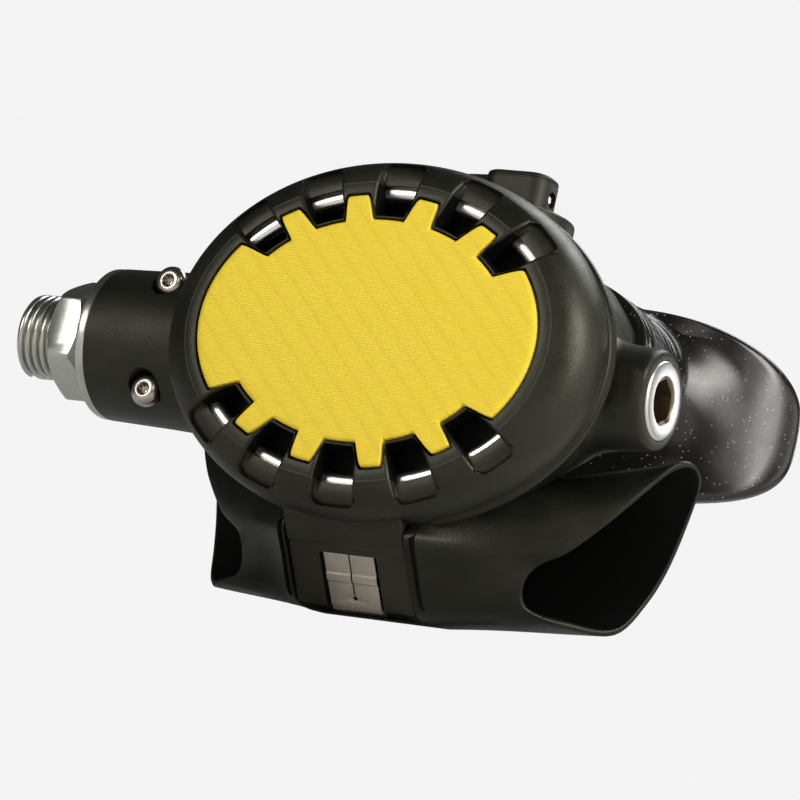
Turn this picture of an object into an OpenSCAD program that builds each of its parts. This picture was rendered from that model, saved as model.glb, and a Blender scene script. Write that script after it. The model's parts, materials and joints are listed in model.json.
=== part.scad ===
// Second stage of a scuba regulator, the spare one called an octopus.
// X runs along the valve: the hose screws on at the origin and the valve
// lies towards +X. The cover faces -Y, the mouthpiece +Y, and Z is up.
// Inside the modules x = 0 is the middle of the case, on the valve axis.

/* [Case] */
// Width of the oval case
case_w = 76; // [72:1:86]
// Height of the oval case
case_h = 58; // [54:1:66]
// Distance from the valve axis forward to the joint of case and cover
seat_depth = 13; // [12.5:0.5:14]
// Wall of the case
wall = 2.2; // [1.8:0.1:2.6]
// Height of the middle of the oval above the valve axis
oval_rise = 1; // [0:0.5:2]

/* [Mouth tube] */
// Width of the tube that the mouthpiece is pulled over
spigot_w = 34; // [30:1:36]
// Height of that tube
spigot_h = 22; // [19:1:23]
// Height of the tube's axis above the valve axis
spigot_rise = 18; // [17:0.5:19]
// Distance from the valve axis back to the end of the tube
spigot_end = 52; // [48:1:58]

/* [Cover] */
// Distance from the valve axis forward to the front of the cover
cover_front = 22; // [21.5:0.1:23]
// Width of the yellow purge plate
plate_w = 60; // [56:1:61]
// Height of the yellow purge plate
plate_h = 44.8; // [42:0.2:45.6]
// Thickness of the purge plate
plate_t = 1.6; // [1.2:0.1:1.8]
// How far the purge plate can be pressed in
purge_travel = 2.4; // [1.5:0.1:2.5]
// Angle between two slots, seen from the middle
slot_pitch = 24.3; // [22:0.1:25]

/* [Inlet] */
// Outer diameter of the hose thread, 9/16 inch UNF
thread_d = 14.29; // [12:0.01:15.8]
// Pitch of that thread, 18 turns to the inch
thread_pitch = 1.411; // [1:0.001:1.5]
// Length of the thread
thread_len = 7.6; // [6:0.1:8]
// Hexagon across its flats
hex_af = 17.5; // [17:0.1:20]
// Diameter of the round flange against the case
flange_d = 25.2; // [22:0.2:26]
// Distance from the end of the thread to the middle of the case
inlet_reach = 73; // [71:0.5:78]

/* [Valve] */
// Outer diameter of the valve tube
tube_d = 13.2; // [12.6:0.1:13.4]
// Bore of the valve tube
tube_bore = 10.5; // [10.2:0.1:10.8]
// Length of the demand lever's arm
lever_arm = 14; // [12:0.5:15]
// Diameter of the side boss that holds the plug
boss_d = 16.2; // [15.4:0.2:18]
// Diameter of the adjusting plug's head
plug_d = 12.8; // [12:0.1:13.2]
// Hexagon socket of the plug across its flats
socket_af = 6.5; // [5:0.1:7]

/* [Exhaust] */
// Diameter of the exhaust valve
exhaust_d = 22; // [18:0.5:23]
// How far the exhaust valve lifts off its seat
exhaust_lift = 1.2; // [0.8:0.1:1.5]
// Span of the exhaust tee from tip to tip
tee_span = 90; // [86:1:98]
// Depth of the tee's underside below the valve axis
tee_depth = 40.4; // [39:0.2:44]
// Wall of the tee
tee_wall = 1.6; // [1.3:0.1:2]

/* [Mouthpiece] */
// Width across the mouthpiece's bite flange
bite_w = 70; // [64:1:76]
// Height of the bite flange
bite_h = 31.4; // [28:0.2:34]
// Thickness of the rubber sleeve on the tube
sleeve_t = 2; // [1.6:0.1:2.4]

/* [Venturi lever] */
// Width of the lever's block
knob_w = 11.8; // [11:0.2:13]
// Height of the block above its round base
knob_h = 7; // [6:0.2:8]
// Diameter of the cross pin through the block
pin_d = 1.6; // [1.4:0.1:2]
// How far the lever's arm reaches from its axis
knob_arm = 17.5; // [10:0.5:20]

/* [Hidden] */

fit = 0.05;          // radial clearance of a running fit
gap = 0.3;           // clearance between parts that must not rub
lap = 0.01;          // cutters run past a face by this much
ring_n = 64;         // sides of a rounded oval
$fn = 48;

// Case oval and the ones that follow it, as half width and half height
case_a = case_w / 2;
case_b = case_h / 2;
plate_a = plate_w / 2;
plate_b = plate_h / 2;
seat_y = -seat_depth;
rim_back = seat_y + 5;              // back of the straight rim
bead_y = seat_y + 3;                // thin bead round the rim
mid_y = 10;                         // where the case starts to narrow
root_y = 32;                        // root of the mouth tube
mid_in = 5;                         // how much slimmer the case is at mid_y

// Cover, from the front inwards
face_y = -cover_front;
plate_front = face_y - gap;
plate_back = plate_front + plate_t;
floor_y = plate_back + purge_travel + 0.4;   // bottom of the plate's pocket
floor_t = 1.2;
chamber_y = floor_y + floor_t;               // room of the deflector ring
chamber_back = seat_y - 2.4;                 // front of the diaphragm's ring
slot_in = 5.4;                               // slots start this far inside
steel_out = 2.2;                             // steel ring reaches this far out
pocket_out = 6;                              // slots end this far outside
skin = 2.4;                                  // depth of a slot's outer pocket

// Purge button's stem, spring and hub
stem_r = 3;
well_in = 4.4;
well_out = 6.6;
hub_r = 7.8;
hub_back = seat_y - 0.8;
well_floor = hub_back - 0.9;
stem_tip = seat_y - 0.3;

// Diaphragm
disc_r = 12;
disc_t = 0.6;
disc_front = seat_y;
skin_t = 0.5;
bead_w = 2.6;
ring_a = case_a - wall - 0.9;
ring_b = case_b - wall - 0.9;

// Valve axis, all x from the middle of the case
thread_end = -inlet_reach;
tip_land = 0.45;                            // plain land at the thread's tip
thread_lead = 0.6;                          // first ridge starts after it
inlet_bore = 4.2;
hex_x = thread_end + thread_len;
hex_len = 5.5;
flange_t = 1.8;
flange_x = thread_end + 16.8;               // back face of the flange
barrel_r = flange_d / 2;
barrel_r2 = barrel_r + 1.1;                 // the barrel widens to the case
barrel_end = -30;
screw_x = flange_x + 11.6;
screw_z = 9.3;
screw_r = 1.2;
screw_head_r = 2.3;
screw_seat = -7.6;                          // bottom of a screw's counterbore
screw_tip = 5;
spigot_r = screw_z - screw_r + 0.5;         // the screws lie in its groove
groove_r = screw_z - screw_r - 0.2;
tube_x = screw_x + screw_r + 1.6;           // left end of the valve tube
boss_end = 43;
plug_end = boss_end + gap;
plug_head = 9.6;
tube_end = plug_end - plug_head - 1.2;      // right end of the valve tube
orifice_r = tube_bore / 2 - fit;
crown_x = -30.4;                            // edge that the seat closes on
hinge_x = 8;                                // axis of the demand lever
hinge_y = -7.6;
axle_r = 0.9;
foot_y = -3.4;
collar_x = hinge_x + 1.1;                   // collar that the lever pushes
pad_x = 22;

// Exhaust port under the case
port_y = 4;
port_z = -23.4;                             // sealing face, looking down
port_r = exhaust_d / 2 - 1.6;
valve_t = 0.9;
valve_stem = 1.2;
hub2_r = 2.6;

// Exhaust tee
tee_reach = tee_span / 2;
tee_z = -tee_depth;
crease = [seat_y - 1.8, oval_rise - case_b - 1.5];   // top of the sloping front
chin_foot = [-4.5, tee_z];                           // and its foot
chin_down = chin_foot - crease;
chin_in = [-chin_down[1], chin_down[0]] / norm(chin_down);
chin_half = 10.5;                           // half width of the cover's tongue
tongue_t = 1.8;
clip_t = 0.8;
clip_x = [-4.2, 4.8];                       // sides of the clip
wing_x = 12;                                // the wings start here
mouth_rake = 0.378;                         // the mouths lean outwards at the top
mouth_sweep = 0.597;                        // and their front is swept back
mouth_x = tee_reach - 5.2;                  // a mouth's plane at the valve axis

// Mouthpiece
sleeve_y = 41;
tie_y = 45;
tie_w = 4.6;
sleeve_a = spigot_w / 2 + sleeve_t;
sleeve_b = spigot_h / 2 + sleeve_t;
neck_y = 58;
bite_tab = 12;                              // side of a bite tab
bite_tab_t = 3;
bite_tab_x = 21;
bite_t = 3.2;
bite_curl = 15;                             // the ends curl back this far
bite_z = spigot_rise - 3.6;

// Venturi lever on top
knob_y = 22;
knob_base_r = 9.4;
knob_off = -0.7;                            // the block sits off the axis
knob_corner = 2.2;
base_z = 32;
base_h = 2.6;
shaft_r = 2.4;
knob_z = base_z + base_h;
vane_z = spigot_rise - 1;
pin_z = knob_z + 3.2;

// ---------------------------------------------------------------- shapes

// Points of an oval with half width a and half height b
function oval_points(a, b, n = ring_n) =
    [for (i = [0:n - 1]) [a * cos(360 * i / n), b * sin(360 * i / n)]];

// Flat oval slab that lies across Y, from y back by t, centred at height z
module slab(a, b, y, t, z = oval_rise)
    translate([0, y + t, z])
        rotate([90, 0, 0])
            linear_extrude(t)
                polygon(oval_points(a, b));

// Outline drawn in X and Z, made solid from y back by t
module across(y, t)
    translate([0, y + t, oval_rise])
        rotate([90, 0, 0])
            linear_extrude(t)
                children();

// Cylinder along X, Y or Z from its start
module rod_x(r, x1, x2)
    translate([x1, 0, 0])
        rotate([0, 90, 0])
            cylinder(r = r, h = x2 - x1);

module rod_y(r, y1, y2)
    translate([0, y2, 0])
        rotate([90, 0, 0])
            cylinder(r = r, h = y2 - y1);

module rod_z(r, z1, z2)
    translate([0, 0, z1])
        cylinder(r = r, h = z2 - z1);

// Moves the middle of the case to its place behind the inlet
module place()
    translate([inlet_reach, 0, 0])
        children();

// Round section swept along a helix that rises along Z
function helix_point(r, pitch, a, wire, w) =
    [(r + wire * cos(w)) * cos(a),
     (r + wire * cos(w)) * sin(a),
     pitch * a / 360 + wire * sin(w)];

module coil(r, len, turns, wire) {
    steps = turns * 20;
    sides = 8;
    pitch = (len - 2 * wire) / turns;
    points = [for (i = [0:steps]) for (k = [0:sides - 1])
        helix_point(r, pitch, 360 * i / 20, wire, -360 * k / sides)];
    tube = [for (i = [0:steps - 1]) for (k = [0:sides - 1])
        let (m = (k + 1) % sides)
        [i * sides + k, i * sides + m, (i + 1) * sides + m, (i + 1) * sides + k]];
    start = [[for (k = [sides - 1:-1:0]) k]];
    finish = [[for (k = [0:sides - 1]) steps * sides + k]];
    translate([0, 0, wire])
        polyhedron(points, concat(tube, start, finish), convexity = 6);
}

// Toothed outline of the purge plate: how deep the notch is at angle a
notch_half = 7;
notch_side = 3.6;
notch_turn = 2.6;    // degrees that move a tooth's flank by about 1 mm
function fold(a) = abs(a) > 180 ? 360 - abs(a) : abs(a);
function to_slot(a) =
    let (up = a > 180 ? a - 360 : a,
         off = fold(abs(up) - 90),
         k = min(2, round(off / slot_pitch)))
    abs(off - k * slot_pitch);
function notch(a, grow) =
    let (s = (to_slot(a) + grow * notch_turn - notch_half) / notch_side)
    s <= 0 ? 1 : s >= 1 ? 0 : 1 - s * s * (3 - 2 * s);
function tooth_points(grow) =
    [for (a = [0:359]) if (to_slot(a) < 13 || a % 4 == 0)
        let (n = notch(a, grow) * slot_in)
        [(plate_a + grow - n) * cos(a), (plate_b + grow - n * 0.76) * sin(a)]];

// One slot: its two sides run outwards at a steady angle
slot_half_in = 6.6;
slot_half_out = 6.1;
module slot(c, out_a, out_b) {
    in_a = plate_a - slot_in + 0.9;
    in_b = plate_b - slot_in * 0.76 + 0.9;
    polygon([
        [in_a * cos(c - slot_half_in), in_b * sin(c - slot_half_in)],
        [out_a * cos(c - slot_half_out), out_b * sin(c - slot_half_out)],
        [out_a * cos(c), out_b * sin(c)],
        [out_a * cos(c + slot_half_out), out_b * sin(c + slot_half_out)],
        [in_a * cos(c + slot_half_in), in_b * sin(c + slot_half_in)]
    ]);
}

module slots(out)
    for (side = [90, 270], k = [-2:2])
        slot(side + k * slot_pitch, plate_a + out, plate_b + out);

// ------------------------------------------------------------------ case

// Outer form of the case, grown by g: rim, narrowing body and tube root
module case_form(g) {
    slab(case_a - 0.3 + g, case_b - 0.3 + g, seat_y, rim_back - seat_y);
    hull() {
        slab(case_a - 1.6 + g, case_b - 1.2 + g, rim_back - lap, 0.5);
        slab(case_a - 1.6 - mid_in + g, case_b - 1.2 - mid_in + g, mid_y, 0.5, oval_rise + 3);
        slab(spigot_w / 2 + 0.8 + g, spigot_h / 2 + 0.8 + g, root_y, 0.5, spigot_rise);
    }
}

module case_cavity() {
    slab(case_a - wall - 2.6, case_b - wall - 2.6, seat_y - lap, 4);
    hull() {
        slab(case_a - wall - 2.6, case_b - wall - 2.4, seat_y + 2, 4);
        slab(case_a - 2 * wall - mid_in - 1, case_b - 2 * wall - mid_in, mid_y - 1, 1, oval_rise + 3);
        slab(spigot_w / 2 - wall, spigot_h / 2 - wall, root_y - 1, 1, spigot_rise);
    }
}

// Barrel of the valve, cut flat where the cover and diaphragm sit
module case_barrel()
    difference() {
        translate([flange_x, 0, 0])
            rotate([0, 90, 0])
                cylinder(r1 = barrel_r, r2 = barrel_r2, h = barrel_end - flange_x);
        slab(case_a + 1.2, case_b + 1.7, seat_y - 6, 6);
    }

module case() color([0.13, 0.13, 0.13]) {
    difference() {
        union() {
            case_form(0);
            slab(case_a, case_b, bead_y, 0.9);
            slab(spigot_w / 2, spigot_h / 2, root_y, spigot_end - root_y, spigot_rise);
            case_barrel();
            rod_x(boss_d / 2, 20, boss_end);
            translate([0, port_y, 0])
                rod_z(exhaust_d / 2 + 1, port_z, port_z + 6);
            translate([0, knob_y, 0])
                rod_z(knob_base_r + 0.8, base_z - 6, base_z);
        }
        difference() {
            case_cavity();
            translate([0, port_y, 0])
                rod_z(exhaust_d / 2 + 1, port_z - lap, port_z + 2);
            translate([0, knob_y, 0])
                rod_z(shaft_r + 2.4, base_z - 7, base_z);
            rod_x(boss_d / 2, 25, boss_end);
        }
        slab(spigot_w / 2 - wall, spigot_h / 2 - wall, root_y - 2, spigot_end, spigot_rise);
        rod_x(spigot_r + fit, flange_x - lap, tube_x + lap);
        rod_x(tube_d / 2 + fit, tube_x, tube_end + lap);
        rod_x(plug_d / 2 + fit, tube_end, boss_end + lap);
        for (z = [-screw_z, screw_z])
            translate([screw_x, 0, z]) {
                rod_y(screw_head_r + gap, -barrel_r2 - 2, screw_seat);
                rod_y(screw_r + fit, screw_seat - lap, screw_tip + gap);
            }
        translate([0, port_y, 0]) {
            difference() {
                rod_z(port_r, port_z - lap, port_z + 8);
                rod_z(hub2_r, port_z, port_z + 1.6);
                for (a = [0:90:270])
                    rotate(a)
                        translate([0, -0.8, port_z])
                            cube([port_r + 1, 1.6, 1.6]);
            }
            rod_z(valve_stem + fit, port_z - lap, port_z + 4);
            rod_z(30, port_z - 20, port_z);
        }
        translate([0, knob_y, 0]) {
            rod_z(shaft_r + fit, 10, base_z + lap);
        }
    }
}

// ----------------------------------------------------------------- cover

// Domed front of the cover
module cover_dome()
    hull() {
        slab(plate_a + 1.2, plate_b + 1.2, face_y, 0.2);
        slab(plate_a + 5, plate_b + 4.6, face_y + 1.7, 0.2);
        slab(case_a - 0.5, case_b + 0.2, face_y + 4.5, 0.2);
        slab(case_a + 0.2, case_b + 0.7, face_y + 7, seat_y - face_y - 7);
    }

// Point on the sloping front: t runs from the crease down, d goes inwards
function chin(t, d) = crease + t * chin_down + d * chin_in;

// Plate along the sloping front, from depth d1 to d2, between two sides
module chin_plate(t1, t2, d1, d2, sides)
    translate([sides[0], 0, 0])
        rotate([90, 0, 90])
            linear_extrude(sides[1] - sides[0])
                polygon([chin(t1, d1), chin(t2, d1), chin(t2, d2), chin(t1, d2)]);

// Tongue that runs down from the cover over the middle of the tee
module cover_tongue() {
    root_z = crease[1] + 2.2;
    difference() {
        translate([-chin_half, 0, 0])
            rotate([90, 0, 90])
                linear_extrude(2 * chin_half)
                    polygon([
                        [seat_y - 3.4, root_z], chin(0, 0), chin(1, 0),
                        chin(1, tongue_t), chin(0, tongue_t), [seat_y - 0.4, root_z]
                    ]);
        chin_plate(0.3, 1.2, -1, clip_t + 0.15, [clip_x[0] - gap, clip_x[1] + gap]);
        chin_plate(0.92, 1.2, -1, tongue_t + 1, [clip_x[0] - gap, clip_x[1] + gap]);
    }
}

module front_cover() color([0.15, 0.15, 0.15]) {
    difference() {
        union() {
            cover_dome();
            cover_tongue();
        }
        slab(ring_a + 0.1, ring_b + 0.1, chamber_back, 10);
        difference() {
            slab(plate_a + steel_out + 0.4, plate_b + steel_out + 0.4, chamber_y, 2);
            slab(plate_a - slot_in - 1, plate_b - slot_in - 1, chamber_y - 1, 4);
        }
        difference() {
            across(face_y - 5, chamber_y - face_y + 5.5)
                slots(pocket_out);
            difference() {
                translate([0, skin, 0])
                    cover_dome();
                slab(plate_a + steel_out, plate_b + steel_out, face_y - 6, 20);
            }
        }
        across(face_y - 1, floor_y - face_y + 1)
            polygon(tooth_points(gap));
        rod_y(hub_r + fit, face_y - 1, seat_y);
    }
}

// Pressed into the cover: guides the button's stem and holds its spring
module purge_bushing() color([0.5, 0.5, 0.52])
    difference() {
        union() {
            rod_y(hub_r, floor_y, hub_back);
            rod_y(hub_r + 1.4, chamber_back, chamber_back + 0.8);
        }
        difference() {
            rod_y(well_out, floor_y - lap, well_floor);
            rod_y(well_in, floor_y - 1, well_floor + 1);
        }
        rod_y(stem_r + fit, floor_y - 1, hub_back + 1);
    }

module purge_plate() color([0.96, 0.85, 0.2]) {
    across(plate_front, plate_t)
        polygon(tooth_points(0));
    rod_y(stem_r, plate_back - lap, stem_tip);
}

module purge_spring() color([0.75, 0.75, 0.77])
    translate([0, well_floor, 0])
        rotate([90, 0, 0])
            coil((well_in + well_out) / 2, well_floor - plate_back, 3.5, 0.4);

module deflector_ring() color([0.85, 0.86, 0.88])
    difference() {
        hull() {
            slab(plate_a + steel_out - 0.2, plate_b + steel_out - 0.2, chamber_y + 0.3, 0.5);
            slab(plate_a - 1, plate_b - 1, chamber_y + 0.1, 0.5);
        }
        slab(plate_a - 3.4, plate_b - 3.4, chamber_y - 3, 10);
    }

// ------------------------------------------------------------- diaphragm

module diaphragm_ring() color([0.3, 0.3, 0.32])
    difference() {
        slab(ring_a, ring_b, chamber_back + 0.05, 0.9);
        slab(ring_a - bead_w, ring_b - bead_w, chamber_back - 1, 6);
    }

module diaphragm() color([0.7, 0.72, 0.74]) {
    difference() {
        slab(ring_a, ring_b, seat_y - 1.4, 1.4);
        slab(ring_a - bead_w, ring_b - bead_w, seat_y - 3, 6);
    }
    difference() {
        slab(ring_a - bead_w + lap, ring_b - bead_w + lap, seat_y - 1, skin_t);
        rod_y(disc_r - 1.6, seat_y - 3, seat_y + 3);
    }
}

module diaphragm_disc() color([0.35, 0.36, 0.38]) {
    rod_y(disc_r, disc_front, disc_front + disc_t);
    rod_y(disc_r - 2, disc_front - 0.2, disc_front + lap);
}

// ----------------------------------------------------------------- valve

module inlet_connector() color([0.86, 0.87, 0.88]) {
    crest = thread_d / 2;
    root = crest - 0.54 * thread_pitch;
    turns = floor((thread_len - 1.6) / thread_pitch);
    difference() {
        rotate([0, 90, 0])
            rotate_extrude()
                polygon(concat(
                    [[inlet_bore, thread_end], [crest, thread_end], [crest, thread_end + tip_land]],
                    [for (i = [0:turns - 1]) for (p = [0:3])
                        [p == 0 || p == 3 ? root : crest,
                         thread_end + thread_lead + thread_pitch * (i + [0.1, 0.38, 0.62, 0.9][p])]],
                    [[root - 0.2, thread_end + thread_lead + thread_pitch * turns],
                     [root - 0.2, hex_x],
                     [hex_af / 2 - 0.3, hex_x], [hex_af / 2 - 0.3, hex_x + hex_len],
                     [flange_d / 2 - 2.4, flange_x - flange_t - 1.6],
                     [flange_d / 2 - 0.5, flange_x - flange_t],
                     [flange_d / 2, flange_x - flange_t + 0.3],
                     [flange_d / 2, flange_x - 0.3],
                     [flange_d / 2 - 0.3, flange_x],
                     [spigot_r, flange_x], [spigot_r, screw_x - screw_r - 0.2],
                     [groove_r, screw_x - screw_r - 0.2],
                     [groove_r, screw_x + screw_r + 0.2],
                     [spigot_r, screw_x + screw_r + 0.2],
                     [spigot_r, tube_x], [tube_bore / 2, tube_x],
                     [tube_bore / 2, flange_x + 2.2], [inlet_bore, flange_x + 2.2]]));
    }
    intersection() {
        translate([hex_x, 0, 0])
            rotate([0, 90, 0])
                difference() {
                    cylinder(r = hex_af / sqrt(3), h = hex_len, $fn = 6);
                    translate([0, 0, -1])
                        cylinder(r = 5, h = hex_len + 2);
                }
        rotate([0, 90, 0])
            rotate_extrude()
                polygon([
                    [0, hex_x], [hex_af / 2, hex_x], [hex_af / 2 + 1.4, hex_x + 0.8],
                    [hex_af / 2 + 1.4, hex_x + hex_len - 0.8], [hex_af / 2, hex_x + hex_len],
                    [0, hex_x + hex_len]
                ]);
    }
}

module orifice() color([0.8, 0.68, 0.35])
    rotate([0, 90, 0])
        rotate_extrude()
            polygon([
                [2.4, flange_x + 2.4], [orifice_r, flange_x + 2.4],
                [orifice_r, tube_x - 5], [orifice_r - 1.1, tube_x - 5],
                [orifice_r - 1.1, tube_x - 3.2], [orifice_r, tube_x - 3.2],
                [orifice_r, tube_x + 9], [3.4, crown_x - 3],
                [2.7, crown_x], [2.4, crown_x]
            ]);

module orifice_o_ring() color([0.08, 0.08, 0.08])
    translate([tube_x - 4.1, 0, 0])
        rotate([0, 90, 0])
            rotate_extrude()
                translate([orifice_r - 0.52, 0])
                    circle(r = 0.52, $fn = 24);

module valve_tube() color([0.84, 0.85, 0.86]) {
    difference() {
        union() {
            rod_x(tube_d / 2, tube_x, tube_end);
            for (z = [-6.4, 5])
                translate([hinge_x - 1.8, hinge_y - 1.6, z])
                    cube([3.6, 6, 1.4]);
        }
        rod_x(tube_bore / 2, tube_x - 1, tube_end + 1);
        translate([hinge_x - 3, -tube_d, -4.4])
            cube([6.4, tube_d, 8.8]);
        translate([hinge_x, hinge_y, -8])
            cylinder(r = axle_r + fit, h = 16);
        translate([-12, 0, 0])
            rod_y(3.2, 0, 10);
    }
}

module poppet() color([0.82, 0.83, 0.84]) {
    rod_x(orifice_r - 0.5, crown_x + 0.6, crown_x + 4.4);
    rod_x(2.2, crown_x + 4, collar_x + 1);
    rod_x(orifice_r - 0.5, collar_x, collar_x + 2);
    rod_x(1.7, collar_x + 1.9, collar_x + 6);
}

module poppet_seat() color([0.1, 0.1, 0.1])
    rod_x(3.4, crown_x + 0.02, crown_x + 0.6);

module poppet_spring() color([0.75, 0.75, 0.77])
    translate([collar_x + 2, 0, 0])
        rotate([0, 90, 0])
            coil(3.1, pad_x - collar_x - 2, 6, 0.4);

module spring_pad() color([0.2, 0.2, 0.22])
    difference() {
        rod_x(orifice_r - 0.15, pad_x, pad_x + 2);
        rod_x(2.1, pad_x - 1, pad_x + 3);
    }

module adjusting_plug() color([0.8, 0.8, 0.8]) {
    neck = plug_end - plug_head;
    difference() {
        rotate([0, 90, 0])
            rotate_extrude()
                polygon([
                    [0, pad_x + 2.05], [orifice_r, pad_x + 2.05],
                    [orifice_r, neck - 4.6], [orifice_r - 1.1, neck - 4.6],
                    [orifice_r - 1.1, neck - 2.8], [orifice_r, neck - 2.8],
                    [orifice_r, neck], [plug_d / 2, neck],
                    [plug_d / 2, plug_end - 0.5], [plug_d / 2 - 0.5, plug_end],
                    [0, plug_end]
                ]);
        translate([plug_end - 5.4, 0, 0])
            rotate([0, 90, 0])
                cylinder(r = socket_af / sqrt(3), h = 6, $fn = 6);
        rotate([0, 90, 0])
            rotate_extrude()
                polygon([[0, plug_end - 1.2], [3.75, plug_end - 1.2], [4.45, plug_end + lap], [0, plug_end + lap]]);
    }
}

module plug_o_ring() color([0.08, 0.08, 0.08])
    translate([plug_end - plug_head - 3.7, 0, 0])
        rotate([0, 90, 0])
            rotate_extrude()
                translate([orifice_r - 0.52, 0])
                    circle(r = 0.52, $fn = 24);

module barrel_screws() color([0.8, 0.78, 0.74])
    for (z = [-screw_z, screw_z])
        translate([screw_x, 0, z])
            difference() {
                union() {
                    rod_y(screw_r, screw_seat - 0.1, screw_tip);
                    intersection() {
                        rod_y(screw_head_r, screw_seat - 1.8, screw_seat);
                        translate([0, screw_seat + 1.5, 0])
                            sphere(r = 3.3);
                    }
                }
                translate([0, screw_seat - 0.7, 0])
                    rotate([90, 0, 0])
                        cylinder(r = 1.15, h = 3, $fn = 6);
            }

module demand_lever() color([0.78, 0.79, 0.8]) {
    tip_x = hinge_x - lever_arm;
    tip_y = disc_front + disc_t + gap;
    translate([hinge_x, hinge_y, -6.4])
        cylinder(r = axle_r, h = 12.8);
    translate([0, 0, -1.6])
        linear_extrude(3.2)
            polygon([
                [hinge_x + 0.7, hinge_y - 0.5], [hinge_x + 0.4, hinge_y + 0.7],
                [tip_x + 3, tip_y + 1.6], [tip_x, tip_y + 1], [tip_x - 0.6, tip_y + 0.4],
                [tip_x, tip_y], [tip_x + 3, tip_y + 0.4]
            ]);
    for (z = [-4.1, 2.5])
        translate([0, 0, z])
            linear_extrude(1.6)
                polygon([
                    [hinge_x - 0.8, hinge_y], [hinge_x + 0.8, hinge_y],
                    [collar_x - 0.15, foot_y - 0.4], [collar_x - 0.15, foot_y + 0.4],
                    [hinge_x - 0.4, foot_y + 0.4]
                ]);
}

// --------------------------------------------------------------- exhaust

module exhaust_valve() color([0.12, 0.12, 0.12])
    translate([0, port_y, 0]) {
        rod_z(exhaust_d / 2, port_z - valve_t - 0.02, port_z - 0.02);
        rod_z(valve_stem, port_z - 0.5, port_z + 4.6);
    }

// Outline drawn in Y and Z, made solid from x1 to x2
module upright(x1, x2)
    translate([x1, 0, 0])
        rotate([90, 0, 90])
            linear_extrude(x2 - x1)
                children();

// The tee's outline in Y and Z, g inside its skin: in the middle
module tee_middle(g)
    polygon([
        [-4, -20 - g], crease + [1.4 + g, 2.4], chin(0, g), chin(1, g) + [0, 0.2 * g],
        [2, tee_z + g], [14 - g * 0.6, tee_z + 3.9 + g], [19 - g, -27], [17 - g, -19]
    ]);

// and at the mouth of a wing
module tee_mouth(g)
    polygon([
        [9 + 0.4 * g, -7.5 - g], [13 - 0.2 * g, -6.3 - g], [16 - 0.8 * g, -8.5 - 0.6 * g], [18 - g, -13.3],
        [18.5 - g, -22.4], [17 - g, -29.5 + 0.4 * g], [13.5 - 0.6 * g, -35.8 + g], [7, -36.7 + g],
        [2.5 + 0.5 * g, -35.9 + g], [0.3 + g, -31.2], [1.4 + g, -26.2], [2.8 + g, -20.3],
        [6.3 + g, -13.1 - 0.3 * g]
    ]);

module tee_form(g) {
    upright(-wing_x - 0.5, wing_x + 0.5)
        tee_middle(g);
    for (s = [0, 1])
        mirror([s, 0, 0])
            hull() {
                upright(wing_x, wing_x + 0.5)
                    tee_middle(g);
                multmatrix([[1, mouth_sweep, mouth_rake, mouth_x], [0, 1, 0, 0], [0, 0, 1, 0]])
                    upright(-0.5 + sign(g), sign(g))
                        tee_mouth(g);
            }
}

module exhaust_tee() color([0.12, 0.12, 0.12]) {
    difference() {
        tee_form(0);
        case_form(0.15);
        slab(case_a + 0.4, case_b + 0.9, seat_y - 9, 9.2);
        slab(case_a + 0.2, case_b + 0.2, seat_y, rim_back - seat_y + 0.2);
        translate([0, port_y, 0])
            rod_z(exhaust_d / 2 + 1.2, port_z - 8, port_z + 8);
        rod_x(boss_d / 2 + 0.2, 20, tee_reach + 9);
        rod_x(barrel_r2 + 0.2, -tee_reach - 9, -20);
        difference() {
            tee_form(tee_wall);
            case_form(tee_wall + 0.15);
            chin_plate(-1, 2, -2, tongue_t + 0.15 + tee_wall,
                       [-chin_half - tee_wall, chin_half + tee_wall]);
        }
        chin_plate(-0.5, 1.4, -2, tongue_t + 0.25, [-chin_half - 0.15, chin_half + 0.15]);
        translate([clip_x[0] - gap, chin_foot[0] - 4, tee_z - 1])
            cube([clip_x[1] - clip_x[0] + 2 * gap, 8.6, 1 + clip_t + 0.15]);
    }
}

// Sheet clip that holds the tongue: it lies in the tongue and hooks under
module exhaust_clip() color([0.72, 0.73, 0.72]) {
    chin_plate(0.32, 1 - lap, 0.1, 0.1 + clip_t, clip_x);
    translate([clip_x[0], chin_foot[0] + 0.1, tee_z + 0.1])
        cube([clip_x[1] - clip_x[0], 3.6, clip_t]);
}

// ------------------------------------------------------------ mouthpiece

// Depth of the bite flange's front at a distance u from its middle
function bite_y(u) = neck_y + bite_curl * pow(abs(u) / (bite_w / 2), 3.2);

module bite_flange() {
    steps = 24;
    front = [for (i = [0:steps])
        let (u = bite_w / 2 * (2 * i / steps - 1))
        [u, bite_y(u)]];
    back = [for (i = [steps:-1:0])
        let (u = bite_w / 2 * (2 * i / steps - 1))
        [u * (1 - bite_t * 0.7 / bite_w), bite_y(u) + bite_t]];
    intersection() {
        translate([0, 0, bite_z - bite_h])
            linear_extrude(2 * bite_h)
                polygon(concat(front, back));
        translate([0, neck_y + 40, bite_z])
            rotate([90, 0, 0])
                linear_extrude(60)
                    hull()
                        for (x = [-1, 1], z = [-1, 1])
                            translate([x * (bite_w / 2 - 13), z * (bite_h / 2 - 13)])
                                circle(r = 13);
    }
}

// Tab that the teeth hold, with a ridge at its end
module bite_tab(x) {
    translate([x - bite_tab / 2, neck_y, bite_z - bite_tab_t / 2])
        cube([bite_tab, bite_tab + 4, bite_tab_t]);
    translate([x - bite_tab / 2, neck_y + bite_tab + 1.5, bite_z - 1.5 * bite_tab_t])
        cube([bite_tab, 2.5, 3 * bite_tab_t]);
}

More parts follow.
